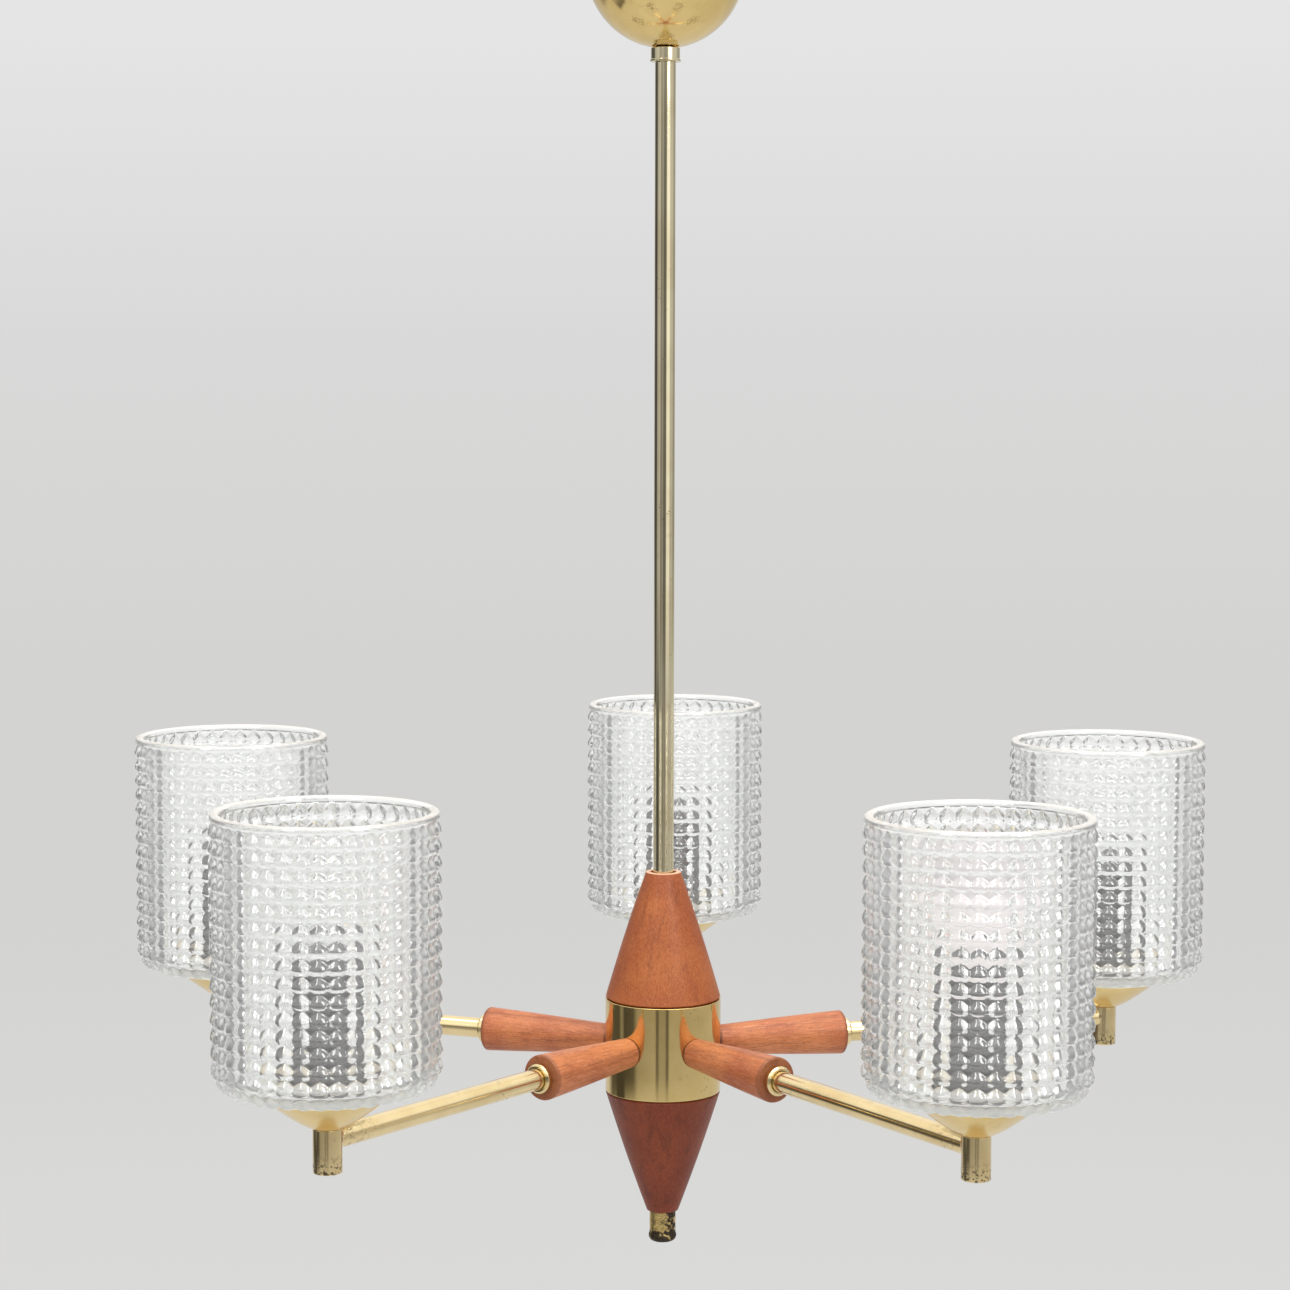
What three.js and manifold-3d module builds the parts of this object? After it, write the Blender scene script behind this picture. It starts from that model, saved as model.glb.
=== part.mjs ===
// Five-arm chandelier: brass tubes, turned teak and pressed glass shades on a ceiling hook.
// Millimetres, +Z up. The origin is the point where the ceiling hook bears on the stirrup,
// and one arm points along +Y. Threads are plain cylinders with a small clearance.

import * as THREE from 'three';
import { mergeVertices } from 'three/addons/utils/BufferGeometryUtils.js';
import Module from 'manifold-3d';

const wasm = await Module();
wasm.setup();

// ---- clearances ----
const SEAT = 0.3; // between faces that rest on each other
const THREAD = 0.3; // radial, round a threaded or close-fitting tube
const OVERCUT = 2; // how far a cutter reaches past the face that it opens

// ---- mesh fineness ----
const WIDE_SIDES = 28; // sides of the large turned pieces
const MEDIUM_SIDES = 20;
const SMALL_SIDES = 16;
const WIRE_SIDES = 6;
const NUT_SIDES = 6;
const ARC_STEPS = 6; // along a long curve
const CORNER_STEPS = 3; // round a corner or up a cup
const WIRE_STEPS = 12; // along a bent wire

// ---- hanger ----
const stirrupInnerWidth = 20;
const stirrupInnerHeight = 30;
const stirrupThickness = 2.5;
const stirrupDepth = 12;
const nutAcrossFlats = 14;
const nutHeight = 3;
const stemAboveNut = 1;

// ---- stem ----
const stemDiameter = 10;
const stemWall = 1;
const exposedStem = 390; // from the collar down to the upper cone

// ---- canopy and its collar ----
const canopyRadius = 38;
const canopySkirt = 28;
const canopyWall = 1;
const canopyHookDepth = 16; // the hook bears this far below the ceiling
const canopyHoleClearance = 0.6;
const collarDiameter = 14;
const collarHeight = 6.5;
const collarLip = 0.4;
const collarLipHeight = 1;
const collarScrewDiameter = 2.6;
const collarScrewProud = 0.6;

// ---- wiring ----
const cableDiameter = 6;
const cableBend = 6;
const cableRise = 1; // straight stretch above the stem before the bend
const terminalWidth = 24;
const terminalDepth = 16;
const terminalHeight = 14;
const terminalGap = 6; // from the stirrup to the terminal block
const terminalPoles = 3;
const terminalPitch = 7;
const terminalBore = 3.2;
const leadDiameter = 2.8;
const leadBend = 4.5;
const leadRunIn = 4.5; // straight stretch in the arm before the bend
const leadAboveNipple = 18;
const spliceBlockWall = 5.7;
const spliceBlockHeight = 9;

// ---- hub ----
const drumDiameter = 56.6;
const drumHeight = 45.6;
const drumWall = 3;
const drumTopThickness = 3;
const stemIntoHub = 10; // below the drum's top plate
const couplerWall = 2.2;
const couplerLength = 34;
const couplerWindow = 6;
const tieRodDiameter = 10;
const tieRodIntoCoupler = 8;
const tieRodIntoFinial = 7;

// ---- teak cones ----
const coneBaseInset = 0.3; // the drum's edge stands this far outside the cones'
const coneBaseChamfer = 0.8;
const coneFlankCrownHeight = 0.5; // how much fuller the flanks are than straight ones
const upperConeHeight = 62.1;
const upperConeTopDiameter = 17;
const upperConeBoreClearance = 1.3;
const lowerConeHeight = 60.2;
const lowerConeTipDiameter = 15.4;
const lowerConeSpigot = 2.5; // plug that centres the cone inside the drum

// ---- finial ----
const finialDiameter = 12.8;
const finialFerruleHeight = 9.6;
const finialTipDiameter = 13.7;
const finialTipHeight = 5.7;

// ---- arms ----
const armCount = 5;
const armReach = 235.5; // from the lamp's axis to each end tube's axis
const armDiameter = 10;
const armWall = 1;
const armInsideDrum = 6.5; // threaded end, past the drum's inner wall
const endTubeDiameter = 12.8;
const endTubeAbove = 5.2;
const endTubeBelow = 14.3;
const endTubeChamfer = 0.6;
const nippleDiameter = 10;
const nippleBore = 7.2;
const nippleHeight = 13;
const nippleHeadroom = 2; // between the nipple and the step in the lampholder

// ---- teak sleeves and brass ferrules on the arms ----
const sleeveEndReach = 93; // from the lamp's axis to the sleeve's outer end
const sleeveInnerDiameter = 14.4;
const sleeveOuterDiameter = 21.6;
const sleeveRounding = 1.6;
const ferruleDiameter = 14;
const ferruleLength = 3.2;
const ferruleStep = 0.9; // both how deep and how long the ferrule's shoulder is

// ---- shade cups ----
const cupFloorDiameter = 14;
const cupRimDiameter = 55;
const cupHeight = 14.1;
const cupWall = 1.2;
const cupBellyRadius = 13; // where the bowl turns from its floor to its flank
const cupBellyHeight = 2;

// ---- glass shades ----
const glassDiameter = 99;
const glassHeight = 121.9;
const glassWall = 5;
const glassFloor = 4;
const glassHoleDiameter = 29;
const glassFlatDiameter = 56;
const glassCornerRadius = 7;
const glassDish = 4; // how far the floor rises from its flat to the corner
const glassRimRounding = 1.5;
const glassRimBand = 2.9; // smooth band under the rim
const glassNubHeight = 1.9; // of the pressed relief, which stands for rows of finer nubs
const glassNubRows = 5;

// ---- lampholders and shade rings ----
const holderDiameter = 27.2;
const holderNeckDiameter = 13.6;
const holderNeckHeight = 4.5;
const holderShoulder = 6;
const holderHeight = 67;
const holderChamfer = 1;
const socketDiameter = 14.8;
const socketDepth = 28;
const holderWireBore = 6;
const shadeRingDiameter = 40;
const shadeRingHeight = 5;
const shadeRingChamfer = 0.8;

// ---- bulb ----
const bulbArm = 3; // the arm whose lampholder has the bulb
const bulbDiameter = 45;
const bulbGlassHeight = 54;
const bulbGlassWall = 0.8;
const bulbNeckDiameter = 17;
const bulbNeckHeight = 8.5; // its straight part
const bulbNeckAngle = 52; // the ball ends this many degrees below its middle
const bulbCapDiameter = 13.4;
const bulbCapWall = 0.8;
const bulbCapChamfer = 1.6;
const bulbCapProud = 0.6; // how far the seated cap stands above the holder
const bulbContactDiameter = 6;
const bulbContactHeight = 3;

// ---- places worked out from the sizes, from the ceiling down ----
const stemRadius = stemDiameter / 2;
const stirrupFloorZ = -stirrupInnerHeight;
const stirrupUnderZ = stirrupFloorZ - stirrupThickness;
const stemTopZ = stirrupFloorZ + SEAT + nutHeight + stemAboveNut;
const canopyCentreZ = canopyHookDepth - canopySkirt;
const canopyHoleRadius = stemRadius + canopyHoleClearance;
const canopyLowZ = canopyCentreZ - Math.sqrt(canopyRadius ** 2 - canopyHoleRadius ** 2);
const collarTopZ = canopyLowZ - SEAT;
const collarBottomZ = collarTopZ - collarHeight;
const upperConeTopZ = collarBottomZ - exposedStem;
const upperConeBaseZ = upperConeTopZ - upperConeHeight;
const drumTopZ = upperConeBaseZ - SEAT;
const hubZ = drumTopZ - drumHeight / 2;
const drumBottomZ = drumTopZ - drumHeight;
const drumRadius = drumDiameter / 2;
const drumInnerRadius = drumRadius - drumWall;
const coneBaseRadius = drumRadius - coneBaseInset;
const drumCeilingZ = drumTopZ - drumTopThickness;
const stemBottomZ = drumCeilingZ - stemIntoHub;
const couplerTopZ = drumCeilingZ - SEAT;
const couplerBottomZ = couplerTopZ - couplerLength;
const couplerBoreRadius = Math.max(stemDiameter, tieRodDiameter) / 2 + THREAD;
const couplerRadius = couplerBoreRadius + couplerWall;
const spliceBoreRadius = couplerRadius + THREAD;
const spliceRadius = spliceBoreRadius + spliceBlockWall;
const lowerConeBaseZ = drumBottomZ - SEAT;
const lowerConeTipZ = lowerConeBaseZ - lowerConeHeight;
const finialTopZ = lowerConeTipZ - SEAT;
const tieRodTopZ = couplerBottomZ + tieRodIntoCoupler;
const tieRodBottomZ = finialTopZ - tieRodIntoFinial;

// ---- places along one arm, with the arm's own axis at height 0 ----
const armRadius = armDiameter / 2;
const armStart = drumInnerRadius - armInsideDrum;
const armBoreRadius = armRadius - armWall;
const slideOnArm = armRadius + THREAD;
const cupFloorZ = endTubeAbove + SEAT;
const glassBottomZ = cupFloorZ + cupHeight + SEAT;
const glassInnerFloorZ = glassBottomZ + glassFloor;
const holderBottomZ = cupFloorZ + cupWall + SEAT;
const holderTopZ = holderBottomZ + holderHeight;
const socketFloorZ = holderTopZ - socketDepth;
const nippleTopZ = endTubeAbove + nippleHeight;
const slideOnNipple = nippleDiameter / 2 + THREAD;
const bulbContactZ = socketFloorZ + SEAT;
const bulbCapBottomZ = bulbContactZ + bulbContactHeight + SEAT;
const bulbCapTopZ = holderTopZ + bulbCapProud;
const bulbGlassBottomZ = bulbCapTopZ + SEAT;

// ---- materials ----
function finish(colour, roughness, metalness) {
  return new THREE.MeshStandardMaterial({ color: colour, roughness, metalness });
}

const polishedBrass = finish(0xc9ab62, 0.2, 1);
const agedBrass = finish(0x8d7a4c, 0.45, 1);
const zincedSteel = finish(0xb4b6b8, 0.35, 1);
const teak = finish(0xb5653a, 0.5, 0);
const pressedGlass = new THREE.MeshStandardMaterial({
  color: 0xeef2f0, roughness: 0.08, metalness: 0, transparent: true, opacity: 0.35,
});
const bakelite = finish(0x1d1a18, 0.35, 0);
const opalGlass = finish(0xf6efe9, 0.3, 0);
const cableSheath = finish(0xd8d4c8, 0.6, 0);
const blockPlastic = finish(0xe6e4dc, 0.5, 0);

// ---- solids ----
function solidFrom(geometry) {
  geometry.deleteAttribute('normal');
  geometry.deleteAttribute('uv');
  const merged = mergeVertices(geometry);
  const corners = merged.index.array;
  const triangles = [];
  for (let i = 0; i < corners.length; i += 3) {
    const [a, b, c] = corners.subarray(i, i + 3);
    if (a !== b && b !== c && c !== a) triangles.push(a, b, c);
  }
  const vertProperties = merged.attributes.position.array;
  const triVerts = Uint32Array.from(triangles);
  return new wasm.Manifold(new wasm.Mesh({ numProp: 3, vertProperties, triVerts }));
}

function addPiece(parent, name, solid, material) {
  const { vertProperties, triVerts } = solid.getMesh();
  const geometry = new THREE.BufferGeometry();
  geometry.setAttribute('position', new THREE.BufferAttribute(vertProperties, 3));
  geometry.setIndex(new THREE.BufferAttribute(triVerts, 1));
  geometry.computeVertexNormals();
  const mesh = new THREE.Mesh(geometry, material);
  mesh.name = name;
  parent.add(mesh);
}

// Turns an outline of [radius, height] points about the Z axis.
function turned(outline, sides) {
  const points = outline.map(([radius, height]) => new THREE.Vector2(radius, height));
  if (THREE.ShapeUtils.area(points) < 0) points.reverse();
  points.push(points[0].clone());
  return solidFrom(new THREE.LatheGeometry(points, sides).rotateX(Math.PI / 2));
}

// The same, about the Y axis, for pieces threaded on an arm.
function turnedOnArm(outline, sides) {
  const points = outline.map(([radius, along]) => new THREE.Vector2(radius, along));
  if (THREE.ShapeUtils.area(points) < 0) points.reverse();
  points.push(points[0].clone());
  return solidFrom(new THREE.LatheGeometry(points, sides));
}

function ring(innerRadius, outerRadius, low, high, sides) {
  return turned([[innerRadius, low], [outerRadius, low], [outerRadius, high], [innerRadius, high]], sides);
}

function rod(radius, low, high, sides) {
  const geometry = new THREE.CylinderGeometry(radius, radius, high - low, sides);
  return solidFrom(geometry.rotateX(Math.PI / 2).translate(0, 0, (low + high) / 2));
}

function rodAlongY(radius, start, end, sides) {
  const geometry = new THREE.CylinderGeometry(radius, radius, end - start, sides);
  return solidFrom(geometry.translate(0, (start + end) / 2, 0));
}

function sweptWire(path, diameter) {
  const section = new THREE.Shape();
  section.absarc(0, 0, diameter / 2, 0, 2 * Math.PI);
  const options = { steps: WIRE_STEPS, curveSegments: WIRE_SIDES / 2, extrudePath: path };
  return solidFrom(new THREE.ExtrudeGeometry(section, options));
}

// [x, y] points of an arc about a centre, angles in degrees, both ends included.
function arc(x, y, radius, from, to, steps = ARC_STEPS) {
  const points = [];
  for (let i = 0; i <= steps; i += 1) {
    const angle = THREE.MathUtils.degToRad(from + ((to - from) * i) / steps);
    points.push([x + radius * Math.cos(angle), y + radius * Math.sin(angle)]);
  }
  return points;
}

// ---- hanger ----
function stirrup() {
  const inner = stirrupInnerWidth / 2;
  const outer = inner + stirrupThickness;
  const shape = new THREE.Shape();
  shape.moveTo(-outer, stirrupUnderZ);
  shape.lineTo(outer, stirrupUnderZ);
  shape.lineTo(outer, -inner);
  shape.absarc(0, -inner, outer, 0, Math.PI);
  shape.closePath();
  const eye = new THREE.Path();
  eye.moveTo(-inner, stirrupFloorZ);
  eye.lineTo(inner, stirrupFloorZ);
  eye.lineTo(inner, -inner);
  eye.absarc(0, -inner, inner, 0, Math.PI);
  eye.closePath();
  shape.holes.push(eye);
  const options = { depth: stirrupDepth, bevelEnabled: false, curveSegments: ARC_STEPS };
  const strip = new THREE.ExtrudeGeometry(shape, options);
  const body = solidFrom(strip.rotateX(Math.PI / 2).translate(0, stirrupDepth / 2, 0));
  const hole = rod(stemRadius + THREAD, stirrupUnderZ - OVERCUT, stirrupFloorZ + OVERCUT, SMALL_SIDES);
  return body.subtract(hole);
}

function stemNut(low) {
  const cornerRadius = nutAcrossFlats / 2 / Math.cos(Math.PI / NUT_SIDES);
  const hexagon = rod(cornerRadius, low, low + nutHeight, NUT_SIDES);
  return hexagon.subtract(rod(stemRadius + THREAD, low - OVERCUT, low + nutHeight + OVERCUT, SMALL_SIDES));
}

function stemTube() {
  return ring(stemRadius - stemWall, stemRadius, stemBottomZ, stemTopZ, SMALL_SIDES);
}

// ---- canopy ----
function canopyShell() {
  const edge = THREE.MathUtils.radToDeg(Math.acos(canopyHoleRadius / canopyRadius));
  const innerRadius = canopyRadius - canopyWall;
  const innerEdge = THREE.MathUtils.radToDeg(Math.acos(canopyHoleRadius / innerRadius));
  return turned([
    ...arc(0, canopyCentreZ, canopyRadius, -edge, 0),
    [canopyRadius, canopyHookDepth],
    [innerRadius, canopyHookDepth],
    ...arc(0, canopyCentreZ, innerRadius, 0, -innerEdge),
  ], WIDE_SIDES);
}

const collarScrewZ = (collarTopZ + collarBottomZ + collarLipHeight) / 2;

function canopyCollar() {
  const bore = stemRadius + THREAD;
  const radius = collarDiameter / 2;
  const body = turned([
    [bore, collarBottomZ],
    [radius + collarLip, collarBottomZ],
    [radius + collarLip, collarBottomZ + collarLipHeight],
    [radius, collarBottomZ + collarLipHeight],
    [radius, collarTopZ],
    [bore, collarTopZ],
  ], MEDIUM_SIDES);
  const hole = rodAlongY(collarScrewDiameter / 2 + THREAD, 0, radius + OVERCUT, WIRE_SIDES);
  return body.subtract(hole.translate([0, 0, collarScrewZ]));
}

function collarScrew() {
  const tip = stemRadius + SEAT;
  const head = collarDiameter / 2 + collarScrewProud;
  return rodAlongY(collarScrewDiameter / 2, tip, head, WIRE_SIDES).translate([0, 0, collarScrewZ]);
}

// ---- wiring at the top ----
const cableAxisZ = stemTopZ + cableRise + cableBend;
const terminalFaceY = stirrupDepth / 2 + terminalGap;

function supplyCable() {
  const path = new THREE.CurvePath();
  const bendStart = new THREE.Vector3(0, 0, stemTopZ + cableRise);
  const bendEnd = new THREE.Vector3(0, cableBend, cableAxisZ);
  const corner = new THREE.Vector3(0, 0, cableAxisZ);
  const inStem = new THREE.Vector3(0, 0, stemTopZ - cableBend);
  const atTerminal = new THREE.Vector3(0, terminalFaceY - SEAT, cableAxisZ);
  path.add(new THREE.LineCurve3(inStem, bendStart));
  path.add(new THREE.QuadraticBezierCurve3(bendStart, corner, bendEnd));
  path.add(new THREE.LineCurve3(bendEnd, atTerminal));
  const bend = sweptWire(path, cableDiameter);
  return bend.add(rod(cableDiameter / 2, stemBottomZ, inStem.z + SEAT, WIRE_SIDES));
}

function terminalBlock() {
  const box = new THREE.BoxGeometry(terminalWidth, terminalDepth, terminalHeight);
  let block = solidFrom(box.translate(0, terminalFaceY + terminalDepth / 2, cableAxisZ));
  for (let pole = 0; pole < terminalPoles; pole += 1) {
    const x = (pole - (terminalPoles - 1) / 2) * terminalPitch;
    const bore = rodAlongY(terminalBore / 2, 0, terminalDepth + terminalFaceY + OVERCUT, WIRE_SIDES);
    block = block.subtract(bore.translate([x, 0, cableAxisZ]));
  }
  return block;
}

// ---- hub ----
function drum() {
  const bore = stemRadius + THREAD;
  let body = turned([
    [bore, drumTopZ],
    [drumRadius, drumTopZ],
    [drumRadius, drumBottomZ],
    [drumInnerRadius, drumBottomZ],
    [drumInnerRadius, drumCeilingZ],
    [bore, drumCeilingZ],
  ], WIDE_SIDES);
  const armHole = rodAlongY(slideOnArm, 0, drumRadius + OVERCUT, SMALL_SIDES);
  for (let arm = 0; arm < armCount; arm += 1) {
    body = body.subtract(armHole.rotate([0, 0, (-360 * arm) / armCount]).translate([0, 0, hubZ]));
  }
  return body;
}

function coupler() {
  const body = ring(couplerBoreRadius, couplerRadius, couplerBottomZ, couplerTopZ, SMALL_SIDES);
  const window = rodAlongY(couplerWindow / 2, -couplerRadius - OVERCUT, couplerRadius + OVERCUT, SMALL_SIDES);
  return body.subtract(window.translate([0, 0, hubZ]));
}

function spliceBlock() {
  const half = spliceBlockHeight / 2;
  return ring(spliceBoreRadius, spliceRadius, hubZ - half, hubZ + half, SMALL_SIDES);
}

function tieRod() {
  return rod(tieRodDiameter / 2, tieRodBottomZ, tieRodTopZ, SMALL_SIDES);
}

// ---- teak cones ----
// Flank points from the base to the small end, slightly fuller than a straight cone.
function coneFlank(baseRadius, baseZ, endRadius, endZ) {
  const points = [];
  for (let i = 0; i <= ARC_STEPS; i += 1) {
    const t = i / ARC_STEPS;
    const straight = THREE.MathUtils.lerp(baseRadius, endRadius, t);
    const crown = coneFlankCrownHeight * Math.sin(Math.PI * t);
    points.push([straight + crown, THREE.MathUtils.lerp(baseZ, endZ, t)]);
  }
  return points;
}

function upperCone() {
  const bore = stemRadius + upperConeBoreClearance;
  return turned([
    [bore, upperConeBaseZ],
    [coneBaseRadius - coneBaseChamfer, upperConeBaseZ],
    ...coneFlank(coneBaseRadius, upperConeBaseZ + coneBaseChamfer, upperConeTopDiameter / 2, upperConeTopZ),
    [bore, upperConeTopZ],
  ], WIDE_SIDES);
}

function lowerCone() {
  const bore = tieRodDiameter / 2 + THREAD;
  const spigot = drumInnerRadius - SEAT;
  return turned([
    [bore, lowerConeBaseZ + lowerConeSpigot],
    [spigot, lowerConeBaseZ + lowerConeSpigot],
    [spigot, lowerConeBaseZ],
    [coneBaseRadius - coneBaseChamfer, lowerConeBaseZ],
    ...coneFlank(coneBaseRadius, lowerConeBaseZ - coneBaseChamfer, lowerConeTipDiameter / 2, lowerConeTipZ),
    [bore, lowerConeTipZ],
  ], WIDE_SIDES);
}

// A plain ferrule that runs into a rounded bead.
function finial() {
  const bore = tieRodDiameter / 2 + THREAD;
  const radius = finialDiameter / 2;
  const beadRounding = finialTipHeight / 2;
  const beadCentreX = finialTipDiameter / 2 - beadRounding;
  const beadCentreZ = finialTopZ - finialFerruleHeight - beadRounding;
  const beadStart = THREE.MathUtils.radToDeg(Math.acos((radius - beadCentreX) / beadRounding));
  const boreEndZ = tieRodBottomZ - SEAT;
  return turned([
    [bore, finialTopZ],
    [radius, finialTopZ],
    ...arc(beadCentreX, beadCentreZ, beadRounding, beadStart, -90),
    [0, beadCentreZ - beadRounding],
    [0, boreEndZ],
    [bore, boreEndZ],
  ], MEDIUM_SIDES);
}

// ---- one arm, pointing along +Y ----
function armTube() {
  const endRadius = endTubeDiameter / 2;
  const endTube = turned([
    [0, -endTubeBelow],
    [endRadius - endTubeChamfer, -endTubeBelow],
    [endRadius, -endTubeBelow + endTubeChamfer],
    [endRadius, endTubeAbove],
    [nippleDiameter / 2, endTubeAbove],
    [nippleDiameter / 2, nippleTopZ],
    [0, nippleTopZ],
  ], SMALL_SIDES).translate([0, armReach, 0]);
  const outside = rodAlongY(armRadius, armStart, armReach, SMALL_SIDES).add(endTube);
  const tubeBore = rodAlongY(armBoreRadius, armStart - OVERCUT, armReach, SMALL_SIDES);
  const upBore = rod(nippleBore / 2, -armBoreRadius, nippleTopZ + OVERCUT, SMALL_SIDES);
  return outside.subtract(tubeBore.add(upBore.translate([0, armReach, 0])));
}

function sleeve() {
  const outer = sleeveOuterDiameter / 2;
  const inner = sleeveInnerDiameter / 2;
  const drumClear = drumRadius + SEAT;
  const body = turnedOnArm([
    [slideOnArm, drumInnerRadius],
    [inner, drumInnerRadius],
    [inner, drumClear],
    ...arc(outer - sleeveRounding, sleeveEndReach - sleeveRounding, sleeveRounding, 0, 90, CORNER_STEPS),
    [slideOnArm, sleeveEndReach],
  ], MEDIUM_SIDES);
  const drumSpace = rod(drumClear / Math.cos(Math.PI / WIDE_SIDES), -2 * outer, 2 * outer, WIDE_SIDES);
  return body.subtract(drumSpace);
}

function ferrule() {
  const start = sleeveEndReach + SEAT;
  const radius = ferruleDiameter / 2;
  return turnedOnArm([
    [slideOnArm, start],
    [radius, start],
    [radius, start + ferruleLength - ferruleStep],
    [radius - ferruleStep, start + ferruleLength],
    [slideOnArm, start + ferruleLength],
  ], SMALL_SIDES);
}

function armLead() {
  const path = new THREE.CurvePath();
  const bendStart = new THREE.Vector3(0, armReach - leadBend, 0);
  const corner = new THREE.Vector3(0, armReach, 0);
  const bendEnd = new THREE.Vector3(0, armReach, leadBend);
  const top = new THREE.Vector3(0, armReach, nippleTopZ + leadAboveNipple);
  const inArmEnd = new THREE.Vector3(0, bendStart.y - leadRunIn, 0);
  path.add(new THREE.LineCurve3(inArmEnd, bendStart));
  path.add(new THREE.QuadraticBezierCurve3(bendStart, corner, bendEnd));
  path.add(new THREE.LineCurve3(bendEnd, top));
  const start = spliceRadius + SEAT;
  const inArm = rodAlongY(leadDiameter / 2, start, inArmEnd.y + SEAT, WIRE_SIDES);
  return sweptWire(path, leadDiameter).add(inArm);
}

// ---- one shade set, on the axis of its end tube ----
// Points of the bowl-shaped cup wall, from its floor to its rim.
function cupWallPoints(floorZ, rimRadius, rimZ) {
  const floor = new THREE.Vector2(cupFloorDiameter / 2, floorZ);
  const belly = new THREE.Vector2(cupBellyRadius, floorZ + cupBellyHeight);
  const rim = new THREE.Vector2(rimRadius, rimZ);
  const curve = new THREE.QuadraticBezierCurve(floor, belly, rim);
  return curve.getPoints(CORNER_STEPS).map((point) => [point.x, point.y]);
}

function cup() {
  const rimZ = cupFloorZ + cupHeight;
  const rimRadius = cupRimDiameter / 2;
  return turned([
    [slideOnNipple, cupFloorZ],
    ...cupWallPoints(cupFloorZ, rimRadius, rimZ),
    ...cupWallPoints(cupFloorZ + cupWall, rimRadius - cupWall, rimZ).reverse(),
    [slideOnNipple, cupFloorZ + cupWall],
  ], MEDIUM_SIDES);
}

// One column of nubs takes two sides of the shade.
function glassShade() {
  const radius = glassDiameter / 2;
  const skin = radius - glassNubHeight;
  const inside = radius - glassWall;
  const hole = glassHoleDiameter / 2;
  const topZ = glassBottomZ + glassHeight;
  const cornerZ = glassBottomZ + glassDish + glassCornerRadius;
  const insideCorner = glassCornerRadius - glassWall / 2;
  const insideX = inside - insideCorner;
  const insideZ = glassInnerFloorZ + glassDish + insideCorner;
  const bandZ = topZ - glassRimBand;
  const nubPitch = (bandZ - cornerZ) / glassNubRows;
  const wall = [];
  for (let i = 1; i <= 2 * glassNubRows; i += 1) wall.push([skin, cornerZ + (i * nubPitch) / 2]);
  const body = turned([
    [hole, glassBottomZ],
    [glassFlatDiameter / 2, glassBottomZ],
    ...arc(skin - glassCornerRadius, cornerZ, glassCornerRadius, -90, 0, CORNER_STEPS),
    ...wall,
    [skin, topZ - glassRimRounding],
    [skin - glassRimRounding, topZ],
    [inside, topZ],
    ...arc(insideX, insideZ, insideCorner, 0, -90, CORNER_STEPS),
    [glassFlatDiameter / 2, glassInnerFloorZ],
    [hole, glassInnerFloorZ],
  ], WIDE_SIDES);
  return body.warp((point) => {
    const [x, y, z] = point;
    const out = Math.hypot(x, y);
    if (out < (skin + inside) / 2 || z < cornerZ || z > bandZ) return;
    const acrossColumn = Math.cos((Math.atan2(x, -y) * WIDE_SIDES) / 4);
    const upRow = Math.sin((Math.PI * (z - cornerZ)) / nubPitch);
    const share = 1 + (glassNubHeight * (acrossColumn * upRow) ** 2) / out;
    point[0] = x * share;
    point[1] = y * share;
  });
}

function lampholder() {
  const radius = holderDiameter / 2;
  const neck = holderNeckDiameter / 2;
  const socket = socketDiameter / 2;
  const wire = holderWireBore / 2;
  const nippleSpaceZ = nippleTopZ + nippleHeadroom;
  const shoulderZ = holderBottomZ + holderNeckHeight;
  return turned([
    [slideOnNipple, holderBottomZ],
    [neck, holderBottomZ],
    [neck, shoulderZ],
    [radius, shoulderZ + holderShoulder],
    [radius, holderTopZ - holderChamfer],
    [radius - holderChamfer, holderTopZ],
    [socket, holderTopZ],
    [socket, socketFloorZ],
    [wire, socketFloorZ],
    [wire, nippleSpaceZ],
    [slideOnNipple, nippleSpaceZ],
  ], SMALL_SIDES);
}

function shadeRing() {
  const bore = holderDiameter / 2 + THREAD;
  const radius = shadeRingDiameter / 2;
  const low = glassInnerFloorZ + SEAT;
  return turned([
    [bore, low],
    [radius, low],
    [radius, low + shadeRingHeight - shadeRingChamfer],
    [radius - shadeRingChamfer, low + shadeRingHeight],
    [bore, low + shadeRingHeight],
  ], SMALL_SIDES);
}

// ---- bulb ----
function bulbContact() {
  return rod(bulbContactDiameter / 2, bulbContactZ, bulbContactZ + bulbContactHeight, SMALL_SIDES);
}

function bulbCap() {
  const radius = bulbCapDiameter / 2;
  const floorZ = bulbCapBottomZ + bulbCapChamfer + bulbCapWall;
  return turned([
    [0, bulbCapBottomZ],
    [radius - bulbCapChamfer, bulbCapBottomZ],
    [radius, bulbCapBottomZ + bulbCapChamfer],
    [radius, bulbCapTopZ],
    [radius - bulbCapWall, bulbCapTopZ],
    [radius - bulbCapWall, floorZ],
    [0, floorZ],
  ], SMALL_SIDES);
}

// Ball and neck of the bulb, from the neck's end to the crown.
function bulbOutline(ballRadius, neckRadius, bottomZ, topZ) {
  const centreZ = topZ - ballRadius;
  const ball = arc(0, centreZ, ballRadius, -bulbNeckAngle, 90);
  return [[neckRadius, bottomZ], [neckRadius, bottomZ + bulbNeckHeight], ...ball];
}

function bulbGlass() {
  const topZ = bulbGlassBottomZ + bulbGlassHeight;
  const ball = bulbDiameter / 2;
  const neck = bulbNeckDiameter / 2;
  const wall = bulbGlassWall;
  return turned([
    ...bulbOutline(ball, neck, bulbGlassBottomZ, topZ),
    ...bulbOutline(ball - wall, neck - wall, bulbGlassBottomZ, topZ - wall).reverse(),
  ], MEDIUM_SIDES);
}

// ---- the chandelier ----
const chandelier = new THREE.Group();

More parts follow.
